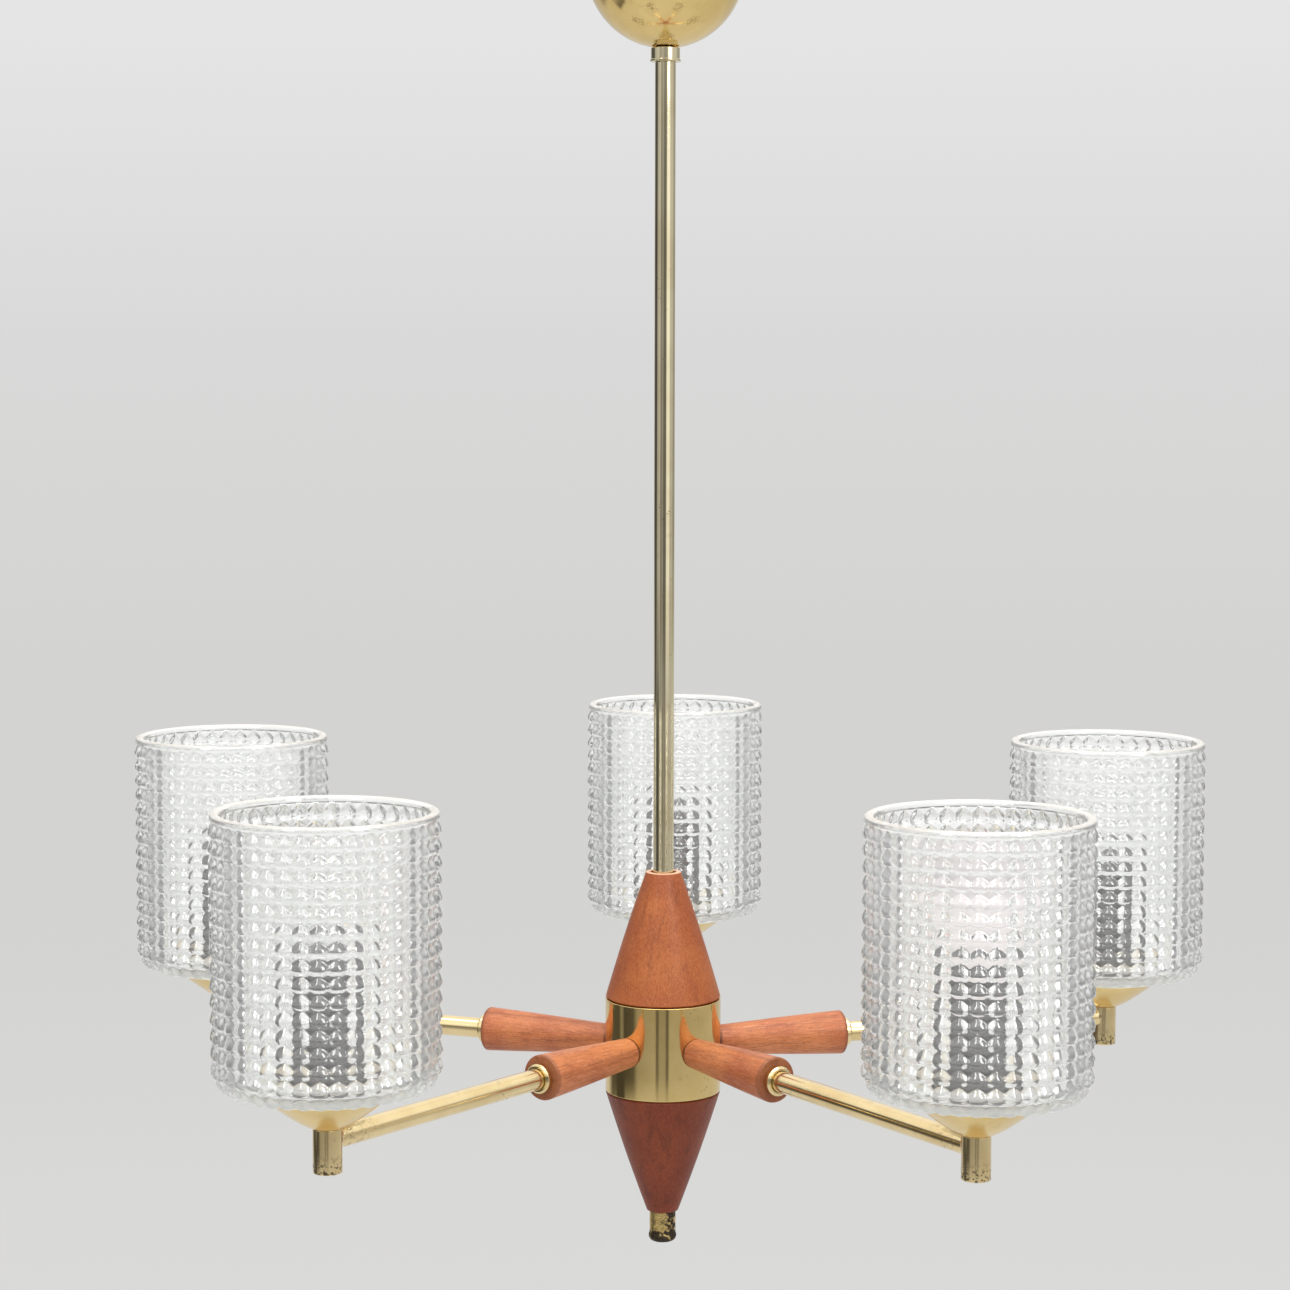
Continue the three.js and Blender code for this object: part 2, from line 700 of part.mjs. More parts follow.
addPiece(chandelier, 'hanger_stirrup', stirrup(), zincedSteel);
addPiece(chandelier, 'hanger_nut_upper', stemNut(stirrupFloorZ + SEAT), zincedSteel);
addPiece(chandelier, 'hanger_nut_lower', stemNut(stirrupUnderZ - SEAT - nutHeight), zincedSteel);
addPiece(chandelier, 'terminal_block', terminalBlock(), blockPlastic);
addPiece(chandelier, 'supply_cable', supplyCable(), cableSheath);
addPiece(chandelier, 'canopy', canopyShell(), polishedBrass);
addPiece(chandelier, 'canopy_collar', canopyCollar(), polishedBrass);
addPiece(chandelier, 'collar_screw', collarScrew(), agedBrass);
addPiece(chandelier, 'stem_tube', stemTube(), polishedBrass);
addPiece(chandelier, 'upper_cone', upperCone(), teak);
addPiece(chandelier, 'hub_drum', drum(), polishedBrass);
addPiece(chandelier, 'hub_coupler', coupler(), agedBrass);
addPiece(chandelier, 'splice_block', spliceBlock(), blockPlastic);
addPiece(chandelier, 'tie_rod', tieRod(), zincedSteel);
addPiece(chandelier, 'lower_cone', lowerCone(), teak);
addPiece(chandelier, 'finial', finial(), agedBrass);

for (let number = 1; number <= armCount; number += 1) {
  const arm = new THREE.Group();
  arm.position.z = hubZ;
  arm.rotation.z = (-2 * Math.PI * (number - 1)) / armCount;
  chandelier.add(arm);
  addPiece(arm, `arm_${number}`, armTube(), polishedBrass);
  addPiece(arm, `sleeve_${number}`, sleeve(), teak);
  addPiece(arm, `ferrule_${number}`, ferrule(), polishedBrass);
  addPiece(arm, `arm_lead_${number}`, armLead(), cableSheath);

  const shade = new THREE.Group();
  shade.position.y = armReach;
  arm.add(shade);
  addPiece(shade, `cup_${number}`, cup(), polishedBrass);
  addPiece(shade, `glass_shade_${number}`, glassShade(), pressedGlass);
  addPiece(shade, `lampholder_${number}`, lampholder(), bakelite);
  addPiece(shade, `shade_ring_${number}`, shadeRing(), bakelite);
  if (number === bulbArm) {
    addPiece(shade, 'bulb_contact', bulbContact(), zincedSteel);
    addPiece(shade, 'bulb_cap', bulbCap(), zincedSteel);
    addPiece(shade, 'bulb_glass', bulbGlass(), opalGlass);
  }
}

export default chandelier;
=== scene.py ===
"""Five-arm chandelier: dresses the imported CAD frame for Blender. Metres, +Z up, arm 1 along +Y."""
import math

import bmesh
import bpy
import numpy as np
from mathutils import Matrix, Vector, noise

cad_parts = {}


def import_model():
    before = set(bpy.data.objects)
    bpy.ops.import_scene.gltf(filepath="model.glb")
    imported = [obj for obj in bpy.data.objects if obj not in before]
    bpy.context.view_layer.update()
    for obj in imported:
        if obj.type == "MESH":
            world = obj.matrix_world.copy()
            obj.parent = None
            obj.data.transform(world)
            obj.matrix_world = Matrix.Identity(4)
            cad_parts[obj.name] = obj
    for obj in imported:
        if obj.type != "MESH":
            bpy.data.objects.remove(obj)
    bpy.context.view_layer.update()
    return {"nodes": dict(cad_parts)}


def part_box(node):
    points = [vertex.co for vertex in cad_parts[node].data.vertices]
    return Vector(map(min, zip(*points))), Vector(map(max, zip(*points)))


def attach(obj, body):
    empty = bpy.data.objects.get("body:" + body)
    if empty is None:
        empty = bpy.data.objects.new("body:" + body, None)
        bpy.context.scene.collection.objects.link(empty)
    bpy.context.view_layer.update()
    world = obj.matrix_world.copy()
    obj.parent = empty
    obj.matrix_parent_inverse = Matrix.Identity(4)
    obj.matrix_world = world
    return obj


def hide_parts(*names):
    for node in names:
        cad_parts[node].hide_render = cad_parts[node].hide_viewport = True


MM = 0.001
X, Y, Z = 0, 1, 2
ARMS = (1, 2, 3, 4, 5)

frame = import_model()


# ---- meshes
def new_object(name, data):
    obj = bpy.data.objects.new(name, data)
    bpy.context.scene.collection.objects.link(obj)
    return obj


def make_object(name, part, material, sharp=32):
    """An object of one smooth-shaded mesh, its faces pointing out and its edges sharp above an angle."""
    verts, faces = part
    mesh = bpy.data.meshes.new(name)
    mesh.from_pydata([tuple(v) for v in verts], [], faces)
    tidy = bmesh.new()
    tidy.from_mesh(mesh)
    bmesh.ops.remove_doubles(tidy, verts=tidy.verts, dist=1e-7)
    bmesh.ops.recalc_face_normals(tidy, faces=tidy.faces)
    tidy.to_mesh(mesh)
    tidy.free()
    mesh.polygons.foreach_set("use_smooth", [True] * len(mesh.polygons))
    mesh.set_sharp_from_angle(angle=math.radians(sharp))
    mesh.materials.append(material)
    return new_object(name, mesh)


def soften(outline, closed):
    """Rounds the corners of an outline whose points are (radius, height) or (radius, height, fillet)."""
    points, count, steps = [], len(outline), 5
    for i, point in enumerate(outline):
        here = Vector(point[:2])
        fillet = point[2] if len(point) > 2 else 0
        inside = closed or 0 < i < count - 1
        if not fillet or not inside:
            points.append(here)
            continue
        back = Vector(outline[i - 1][:2]) - here
        ahead = Vector(outline[(i + 1) % count][:2]) - here
        half = back.angle(ahead) / 2
        reach = min(fillet / math.tan(half), 0.48 * back.length, 0.48 * ahead.length)
        start, end = here + back.normalized() * reach, here + ahead.normalized() * reach
        for k in range(steps + 1):
            t = k / steps
            points.append((1 - t) ** 2 * start + 2 * t * (1 - t) * here + t * t * end)
    return [(p.x, p.y) for p in points]


def turned(outline, sides=96, closed=True):
    """Vertices and faces of an outline with fillets, turned about Z."""
    return turn(soften(outline, closed), sides, closed)


def turn(outline, sides, closed=True):
    """Vertices and faces of (radius, height) points turned about Z; points on the axis become one vertex."""
    verts, rows = [], []
    angles = np.linspace(0, 2 * math.pi, sides, endpoint=False)
    for radius, height in outline:
        if abs(radius) < 1e-9:
            rows.append([len(verts)] * sides)
            verts.append((0, 0, height))
        else:
            rows.append(list(range(len(verts), len(verts) + sides)))
            verts += [(radius * math.sin(a), radius * math.cos(a), height) for a in angles]
    return verts, strips(rows, closed)


def strips(rows, closed):
    """Faces between neighbouring rings of vertices, with the last joined to the first if closed."""
    faces, sides = [], len(rows[0])
    for j in range(len(rows) if closed else len(rows) - 1):
        low, high = rows[j], rows[(j + 1) % len(rows)]
        for i in range(sides):
            k = (i + 1) % sides
            corners = [low[i], low[k], high[k], high[i]]
            face = [c for n, c in enumerate(corners) if c not in corners[:n]]
            if len(face) > 2:
                faces.append(face)
    return faces


def loft(loops, closed):
    """Vertices and faces of rings that all have as many points."""
    sides = len(loops[0])
    rows = [list(range(j * sides, (j + 1) * sides)) for j in range(len(loops))]
    return [point for loop in loops for point in loop], strips(rows, closed)


def around(sides):
    """Evenly spaced angles round a circle."""
    return [2 * math.pi * i / sides for i in range(sides)]


def arc(x, y, radius, start, end, steps):
    """Points on a circle about (x, y) between two angles."""
    return [(x + radius * math.cos(a), y + radius * math.sin(a)) for a in np.linspace(start, end, steps + 1)]


def curve(start, knee, end, t):
    """A point of the quadratic curve that leaves start towards its knee, and comes to end from there."""
    return tuple((1 - t) ** 2 * a + 2 * t * (1 - t) * b + t * t * c for a, b, c in zip(start, knee, end))


def ease(t):
    """0 to 1 as t goes from 0 to 1, level at both ends."""
    return t * t * (3 - 2 * t)


def join(*parts):
    """Several (vertices, faces) as one."""
    verts, faces = [], []
    for some, more in parts:
        start = len(verts)
        verts += [tuple(v) for v in some]
        faces += [[c + start for c in face] for face in more]
    return verts, faces


def moved(part, matrix):
    verts, faces = part
    return [tuple(matrix @ Vector(v)) for v in verts], faces


def shift(x, y, z):
    return Matrix.Translation((x, y, z))


ALONG_Y = Matrix.Rotation(-math.pi / 2, 4, "X")  # takes +Z to +Y


def sweep(path, radius):
    """A round bar with closed ends along a list of points."""
    loops, points, side, sides = [], [Vector(p) for p in path], Vector((1, 0, 0)), 20
    for i, point in enumerate(points):
        ahead = points[min(i + 1, len(points) - 1)] - points[max(i - 1, 0)]
        side = (side - side.project(ahead)).normalized()
        other = ahead.normalized().cross(side)
        loops.append([point + radius * (math.cos(a) * side + math.sin(a) * other) for a in around(sides)])
    verts, faces = loft(loops, False)
    return verts, faces + [list(range(sides)), list(range(len(verts) - sides, len(verts)))]


def slab(low, high):
    """A box from corner to corner."""
    verts = [(x, y, z) for x in (low[X], high[X]) for y in (low[Y], high[Y]) for z in (low[Z], high[Z])]
    faces = [[0, 1, 3, 2], [4, 6, 7, 5], [0, 4, 5, 1], [2, 3, 7, 6], [0, 2, 6, 4], [1, 5, 7, 3]]
    return verts, faces


def bevelled(obj, width, segments=3):
    modifier = obj.modifiers.new("edges", "BEVEL")
    modifier.width = width
    modifier.segments = segments
    modifier.limit_method = "ANGLE"
    modifier.harden_normals = True
    return obj


def settle(obj, body, slot, *nodes):
    """Puts a piece on its body and hides the CAD nodes that it stands for; its material slot is not used."""
    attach(obj, body)
    if nodes:
        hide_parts(*nodes)
    return obj


def piece(name, part, material, body, slot, *nodes, at=(0, 0, 0)):
    """A visible piece on its body."""
    obj = make_object(name, part, material)
    obj.location = at
    return settle(obj, body, slot, *nodes)


def on_each_arm(name, part, material, slot, sharp=32, replaces=True, reach=None):
    """The same mesh on every arm, turned about the lamp's axis from its place on arm 1.

    A part that looks the same after that turn is given about its own axis, and only shifted out by a reach.
    """
    shared = None
    for arm in ARMS:
        title = f"{name}_{arm}" + ("_skin" if replaces else "")
        if shared is None:
            obj = make_object(title, part, material, sharp)
            shared = obj.data
        else:
            obj = new_object(title, shared)
        azimuth = 2 * math.pi * (arm - 1) / len(ARMS)
        if reach is None:
            obj.rotation_euler.z = -azimuth
        else:
            obj.location = (reach * math.sin(azimuth), reach * math.cos(azimuth), 0)
        settle(obj, "frame", slot, *([f"{name}_{arm}"] if replaces else []))


# ---- material nodes
class Paint:
    """The nodes of a new material or of a given tree, with short calls to add and link them."""

    def __init__(self, name, tree=None):
        if tree is None:
            self.material = bpy.data.materials.new(name)
            self.material.use_nodes = True
            tree = self.material.node_tree
        self.tree = tree
        self.tree.nodes.clear()

    def add(self, kind, settings=None, **sockets):
        node = self.tree.nodes.new(kind)
        for key, value in (settings or {}).items():
            setattr(node, key, value)
        for key, value in sockets.items():
            self.put(node.inputs[key.replace("_", " ")], value)
        return node

    def put(self, socket, value):
        if isinstance(value, bpy.types.NodeSocket):
            self.tree.links.new(value, socket)
        else:
            socket.default_value = value

    def place(self, stretch, shuffle=True):
        """Object coordinates in metres, stretched, and shifted by a random step for each object."""
        here = self.add("ShaderNodeTexCoord").outputs["Object"]
        if shuffle:
            step = self.add("ShaderNodeObjectInfo").outputs["Random"]
            far = self.add("ShaderNodeVectorMath", {"operation": "SCALE"}, Vector=(7.3, 3.1, 5.7), Scale=step)
            here = self.vectors("ADD", here, far.outputs["Vector"])
        return self.vectors("MULTIPLY", here, stretch)

    def vectors(self, operation, a, b):
        node = self.add("ShaderNodeVectorMath", {"operation": operation})
        self.put(node.inputs[0], a)
        self.put(node.inputs[1], b)
        return node.outputs["Vector"]

    def noise(self, scale, detail, roughness=0.5, distortion=0.0, stretch=(1, 1, 1), shuffle=True):
        sockets = dict(Scale=scale, Detail=detail, Roughness=roughness, Distortion=distortion)
        return self.add("ShaderNodeTexNoise", Vector=self.place(stretch, shuffle), **sockets).outputs["Fac"]

    def cells(self, scale, stretch=(1, 1, 1)):
        """How far each point is from the middle of its cell."""
        node = self.add("ShaderNodeTexVoronoi", Vector=self.place(stretch), Scale=scale)
        return node.outputs["Distance"]

    def specks(self, scale, size):
        """1 inside small round spots, 0 elsewhere."""
        return self.band(self.cells(scale), size, size * 0.6)

    def band(self, value, low, high):
        """0 at low, 1 at high, smooth between; falls instead if low is above high."""
        start, end = (0.0, 1.0) if low < high else (1.0, 0.0)
        limits = dict(From_Min=min(low, high), From_Max=max(low, high), To_Min=start, To_Max=end)
        node = self.add("ShaderNodeMapRange", {"interpolation_type": "SMOOTHSTEP"}, Value=value, **limits)
        return node.outputs["Result"]

    def math(self, operation, a, b=0.0):
        node = self.add("ShaderNodeMath", {"operation": operation})
        self.put(node.inputs[0], a)
        self.put(node.inputs[1], b)
        return node.outputs["Value"]

    def plus(self, a, b):
        return self.math("ADD", a, b)

    def minus(self, a, b):
        return self.math("SUBTRACT", a, b)

    def mul(self, a, b):
        return self.math("MULTIPLY", a, b)

    def most(self, a, b):
        return self.math("MAXIMUM", a, b)

    def blend(self, factor, a, b, kind="MIX"):
        """The first colour where the factor is 0, the second (or what kind makes of both) where it is 1."""
        node = self.add("ShaderNodeMix", {"data_type": "RGBA", "blend_type": kind}, Factor=factor)
        for key, colour in ((6, a), (7, b)):  # the node's two colour sockets
            self.put(node.inputs[key], (*colour, 1) if isinstance(colour, tuple) else colour)
        return node.outputs[2]

    def times(self, a, b):
        return self.blend(1.0, a, b, "MULTIPLY")

    def ramp(self, value, stops):
        """A colour that follows a value through (value, (red, green, blue)) stops."""
        low, high = stops[0][0], stops[-1][0]
        spread = self.add("ShaderNodeMapRange", Value=value, From_Min=low, From_Max=high)
        node = self.add("ShaderNodeValToRGB", Fac=spread.outputs["Result"])
        marks = node.color_ramp.elements
        while len(marks) < len(stops):
            marks.new(0.5)
        for mark, (at, colour) in zip(marks, stops):
            mark.position = (at - low) / (high - low)
            mark.color = (*colour, 1)
        return node.outputs["Color"]

    def mixed(self, share, first, second):
        """Two shaders, with the given share of the second."""
        node = self.add("ShaderNodeMixShader", Fac=share)
        self.put(node.inputs[1], first)
        self.put(node.inputs[2], second)
        return node.outputs[0]

    def bump(self, height, distance, strength):
        node = self.add("ShaderNodeBump", Height=height, Distance=distance, Strength=strength)
        return node.outputs["Normal"]

    def axis(self, which):
        """One object coordinate, in metres, unshifted."""
        split = self.add("ShaderNodeSeparateXYZ", Vector=self.add("ShaderNodeTexCoord").outputs["Object"])
        return split.outputs[which]

    def surface(self, shader):
        self.add("ShaderNodeOutputMaterial", Surface=shader)
        return self.material

    def principled(self, **sockets):
        return self.surface(self.add("ShaderNodeBsdfPrincipled", **sockets).outputs[0])


# ---- materials
BRASS = ((0.84, 0.63, 0.27), (0.74, 0.54, 0.21))
# painted highlight: a paler brass for the stem and collar, standing for bright reflections that wash their
# colour out
HIGHLIGHT_PALE_BRASS = ((0.82, 0.73, 0.5), (0.72, 0.62, 0.4))
# painted highlight: a paler brass for the arms and ferrules, standing for their bright tops washing the
# colour out
HIGHLIGHT_PALE_ARM_BRASS = ((0.86, 0.69, 0.38), (0.77, 0.59, 0.3))
PATINA = (0.055, 0.042, 0.028)


def brass(name, along, roughness=(0.09, 0.2), wear_and_shade=None, stains=1.0, colours=BRASS):
    """Lacquered brass: fine polishing lines along Z or Y, or all ways for R, stains, and pits and grime from
    a mask of wear, which for the arms also holds painted shade.
    """
    paint = Paint(name)
    drawn = {"Z": (1, 1, 0.03), "Y": (1, 0.03, 1), "R": (1, 1, 1)}[along]
    lines = paint.noise(2600, 2, stretch=drawn)
    cloud = paint.noise(45, 4)
    colour = paint.blend(paint.band(cloud, 0.35, 0.7), *colours)
    smears = paint.band(paint.noise(160, 5, 0.65), 0.58, 0.72)
    colour = paint.blend(paint.mul(smears, 0.25), colour, (0.52, 0.34, 0.14))
    patches = paint.band(paint.noise(60, 3), 0.62, 0.7)
    spots = paint.mul(paint.specks(620, 0.24), patches)
    spots = paint.mul(spots, stains)
    # pits and grime from the mask: wear, and at the arms' end tube feet painted shade as well
    if wear_and_shade is not None:
        near = wear_and_shade(paint)
        pits = paint.mul(paint.specks(640, 0.34), near)
        grime_and_shade = paint.band(paint.noise(480, 3), 0.54, 0.62)
        pits = paint.most(pits, paint.mul(grime_and_shade, near))
        spots = paint.most(spots, pits)
    colour = paint.blend(spots, colour, PATINA)
    rough = paint.plus(paint.mul(lines, roughness[1] - roughness[0]), roughness[0])
    rough = paint.plus(rough, paint.mul(spots, 0.4))
    height = paint.minus(lines, paint.mul(spots, 3))
    return paint.principled(
        Base_Color=colour, Roughness=rough, Metallic=1.0, Normal=paint.bump(height, 0.02 * MM, 0.2),
        Coat_Weight=0.25, Coat_Roughness=0.08)


def aged_brass(name, bare=0.5, worse=None):
    """Brass under flaking brown-black patina, thicker where worse says."""
    paint = Paint(name)
    flake = paint.noise(230, 6, 0.7, 0.6, shuffle=False)
    if worse is not None:
        flake = paint.minus(flake, worse(paint))
    cover = paint.band(flake, bare - 0.03, bare + 0.03)
    colour = paint.blend(cover, PATINA, BRASS[1])
    speck = paint.noise(1500, 3)
    colour = paint.blend(paint.band(speck, 0.55, 0.7), colour, (0.17, 0.13, 0.1))
    rough = paint.minus(0.55, paint.mul(cover, 0.34))
    normal = paint.bump(paint.plus(flake, paint.mul(speck, 0.4)), 0.3 * MM, 0.6)
    return paint.principled(Base_Color=colour, Roughness=rough, Metallic=1.0, Normal=normal)


def teak(name, along, tone, cut_end=None, corner_shade_and_dark_end=None):
    """Oiled teak, its grain and pores along one axis; cut_end is the height of a paler cut face."""
    paint = Paint(name)
    long = {"Z": (1, 1, 0.16), "Y": (1, 0.05, 1)}[along]
    longer = {"Z": (1, 1, 0.04), "Y": (1, 0.02, 1)}[along]
    figure = paint.noise(190, 4, 0.55, 1.2, longer)
    grain = paint.noise(1900, 4, 0.65, stretch=long)
    mottle = paint.noise(1300, 4, 0.7)
    cloud = paint.noise(38, 3)
    reds, oranges, dark = (0.4, 0.082, 0.02), (0.57, 0.152, 0.036), (0.17, 0.036, 0.012)
    colour = paint.blend(paint.band(cloud, 0.3, 0.7), reds, oranges)
    colour = paint.blend(paint.mul(paint.band(mottle, 0.48, 0.66), 0.45), colour, (0.66, 0.22, 0.07))
    colour = paint.blend(paint.mul(paint.band(figure, 0.5, 0.75), 0.5), colour, dark)
    colour = paint.blend(paint.mul(paint.band(grain, 0.5, 0.68), 0.5), colour, dark)
    colour = paint.blend(paint.mul(paint.band(grain, 0.44, 0.3), 0.5), colour, (0.74, 0.29, 0.12))
    pores = paint.band(paint.cells(2100, long), 0.3, 0.12)
    pores = paint.mul(pores, paint.band(cloud, 0.25, 0.6))
    colour = paint.blend(paint.mul(pores, 0.6), colour, (0.13, 0.035, 0.014))
    knots = paint.mul(paint.specks(95, 0.055), 0.85)
    colour = paint.blend(knots, colour, (0.1, 0.035, 0.018))
    colour = paint.times(colour, tone)
    if cut_end is not None:
        fresh = paint.band(paint.axis("Z"), cut_end - 0.5 * MM, cut_end - 0.1 * MM)
        pale = paint.blend(paint.band(grain, 0.3, 0.7), (0.8, 0.52, 0.36), (0.66, 0.36, 0.2))
        colour = paint.blend(fresh, colour, pale)
    # near-black brown where the mask gives it: for the sleeves, painted shade in the corner at the drum and a
    # darker rounding at the outer end
    if corner_shade_and_dark_end is not None:
        colour = paint.blend(corner_shade_and_dark_end(paint), colour, (0.09, 0.028, 0.012))
    rough = paint.plus(paint.mul(grain, 0.25), 0.34)
    normal = paint.bump(paint.minus(grain, pores), 0.06 * MM, 0.5)
    return paint.principled(
        Base_Color=colour, Roughness=rough, Normal=normal, Specular_IOR_Level=0.35,
        Coat_Weight=0.06, Coat_Roughness=0.3)


def pressed_glass(name):
    """Clear pressed glass, uneven, a little hazy, with a ground foot; shadow and diffuse rays pass."""
    paint = Paint(name)
    wave = paint.noise(130, 2)
    seeds = paint.specks(210, 0.05)
    tint = paint.blend(paint.band(wave, 0.3, 0.7), (1.0, 1.0, 1.0), (0.985, 0.995, 0.985))
    uneven = paint.bump(paint.plus(wave, seeds), 0.25 * MM, 0.25)
    shader = paint.add("ShaderNodeBsdfPrincipled", Base_Color=tint, Roughness=0.0, Normal=uneven,
                       Transmission_Weight=1.0, IOR=1.52)
    gloss = paint.add("ShaderNodeBsdfGlossy", Color=(1, 1, 1, 1), Roughness=0.03, Normal=uneven)
    glass = paint.mixed(0.05, shader.outputs[0], gloss.outputs[0])
    white = (0.93, 0.94, 0.92, 1)
    film = paint.mixed(0.5, paint.add("ShaderNodeBsdfDiffuse", Color=white).outputs[0],
                       paint.add("ShaderNodeBsdfTranslucent", Color=white).outputs[0])
    foot = SHADE_BOX[0].z
    ground = paint.mul(paint.band(paint.axis("Z"), foot + 8 * MM, foot + 3 * MM), 0.25)
    hazy = paint.mixed(paint.plus(ground, 0.06), glass, film)
    top = SHADE_BOX[1].z
    # painted highlight: a thin cream line along the top of the rim, standing for the bright line that light
    # makes there
    rim = paint.mul(paint.band(paint.axis("Z"), top - 0.9 * MM, top - 0.2 * MM), 0.3)
    rim_highlight = paint.add("ShaderNodeBsdfDiffuse", Color=(1.0, 0.93, 0.84, 1))
    hazy = paint.mixed(rim, hazy, rim_highlight.outputs[0])
    clear = paint.add("ShaderNodeBsdfTransparent", Color=(0.96, 0.965, 0.96, 1))
    rays = paint.add("ShaderNodeLightPath").outputs
    trapped = paint.math("GREATER_THAN", rays["Ray Depth"], 7.5)
    soft = paint.most(rays["Is Shadow Ray"], rays["Is Diffuse Ray"])
    return paint.surface(paint.mixed(paint.most(soft, trapped), hazy, clear.outputs[0]))


def plastic(name, colour, mottled, roughness):
    """Moulded plastic with faint mottling and a fine surface."""
    paint = Paint(name)
    cloud = paint.noise(300, 4)
    fine = paint.noise(1800, 2)
    shade = paint.blend(paint.band(cloud, 0.35, 0.7), colour, mottled)
    rough = paint.plus(paint.mul(fine, 0.2), roughness)
    return paint.principled(Base_Color=shade, Roughness=rough, Normal=paint.bump(fine, 0.05 * MM, 0.4))


def opal(name):
    """White opal bulb glass; a glow stands for the light that it passes on, least at its crown."""
    paint = Paint(name)
    cloud = paint.noise(90, 3)
    shade = paint.blend(paint.band(cloud, 0.3, 0.7), (0.36, 0.34, 0.335), (0.35, 0.33, 0.325))
    rough = paint.plus(paint.mul(cloud, 0.1), 0.2)
    crown = paint.band(paint.axis("Z"), BULB_TOP - 27 * MM, BULB_TOP - 9 * MM)
    glow = paint.minus(0.6, paint.mul(crown, 0.45))
    return paint.principled(
        Base_Color=shade, Roughness=rough, Normal=paint.bump(cloud, 0.02 * MM, 0.3),
        Emission_Color=(1.0, 0.92, 0.91, 1), Emission_Strength=glow,
        Subsurface_Weight=0.3, Subsurface_Radius=(6 * MM, 5 * MM, 4 * MM))


def zinc(name):
    """Bright zinc plate on steel."""
    paint = Paint(name)
    cloud = paint.noise(180, 4)
    fine = paint.noise(1600, 3, stretch=(1, 1, 0.2))
    shade = paint.blend(paint.band(cloud, 0.35, 0.7), (0.66, 0.67, 0.68), (0.52, 0.53, 0.52))
    rough = paint.plus(paint.mul(fine, 0.25), 0.22)
    normal = paint.bump(fine, 0.03 * MM, 0.4)
    return paint.principled(Base_Color=shade, Roughness=rough, Metallic=1.0, Normal=normal)


# ---- sizes read from the frame
def span(node, axis):
    low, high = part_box(node)
    return low[axis], high[axis]


def radius_of(node, axis=X):
    """Half a piece's width."""
    low, high = span(node, axis)
    return (high - low) / 2


STEM = radius_of("stem_tube")
DRUM = radius_of("hub_drum")
DRUM_Z = span("hub_drum", Z)
HUB = sum(DRUM_Z) / 2
SHADE_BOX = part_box("glass_shade_1")
BULB_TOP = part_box("bulb_glass")[1].z
REACH = (SHADE_BOX[0].y + SHADE_BOX[1].y) / 2
AT_HUB, AT_SHADE = shift(0, 0, HUB), shift(0, REACH, 0)
BORE = 5.3 * MM  # the clearance hole round a 10 mm tube
E14_PITCH = 2.82 * MM


def near_arm_ends(paint):
    """Where the lacquer has gone on the last stretch of an arm, and the foot of its end tube, where the
    darker pits and grime are dirt and also painted shade.
    """
    along = paint.axis("Y")
    outer = paint.mul(paint.band(along, REACH - 34 * MM, REACH - 8 * MM), 0.35)
    tube = paint.band(along, REACH - 8 * MM, REACH - 6 * MM)
    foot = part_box("arm_1")[0].z
    # darker towards the foot of the end tube: dirt, and painted shade under the tube
    low = paint.mul(paint.band(paint.axis("Z"), foot + 10 * MM, foot + 2 * MM), 0.9)
    off_tube = paint.mul(outer, paint.minus(1.0, tube))
    return paint.most(off_tube, paint.mul(low, tube))


def sleeve_ends(paint):
    """Painted shade in the corner where a sleeve meets the drum, and a darker rounding at its other end."""
    along, (low, high) = paint.axis("Y"), span("sleeve_1", Y)
    # painted shade: dark in the corner where the sleeve meets the drum
    corner_shade = paint.mul(paint.band(along, low + 1.3 * MM, low + 0.2 * MM), 0.75)
    end = paint.mul(paint.band(along, high - 2.4 * MM, high - 0.9 * MM), 0.45)
    return paint.most(corner_shade, end)


def finial_dirt(paint):
    """Patina covers the finial's bead, and its ferrule's right half in part."""
    low = span("finial", Z)[0]
    bead = paint.mul(paint.band(paint.axis("Z"), low + 7 * MM, low + 5 * MM), 0.2)
    right = paint.mul(paint.band(paint.axis("X"), -0.5 * MM, 2.5 * MM), 0.13)
    return paint.most(bead, right)


BRASS_TURNED = brass("brass_turned", "Z", (0.05, 0.12))
BRASS_DRAWN = brass("brass_drawn", "Z", (0.04, 0.1), colours=HIGHLIGHT_PALE_BRASS)
BRASS_ARM = brass("brass_arm", "Y", wear_and_shade=near_arm_ends, colours=HIGHLIGHT_PALE_ARM_BRASS)
BRASS_SPUN = brass("brass_spun", "R", (0.16, 0.3), stains=0.0)
BRASS_BOWL = brass("brass_bowl", "R", (0.08, 0.16), stains=0.0)
BRASS_AGED = aged_brass("brass_aged")
BRASS_FINIAL = aged_brass("brass_finial", 0.4, finial_dirt)
ZINC = zinc("zinc_plate")
GLASS = pressed_glass("pressed_glass_clear")
BAKELITE = plastic("bakelite_black", (0.028, 0.026, 0.025), (0.05, 0.044, 0.04), 0.28)
OPAL = opal("opal_glass_white")
SHEATH = plastic("cable_pvc", (0.74, 0.71, 0.63), (0.66, 0.63, 0.55), 0.45)
BLOCK = plastic("block_white", (0.8, 0.79, 0.74), (0.74, 0.72, 0.66), 0.4)


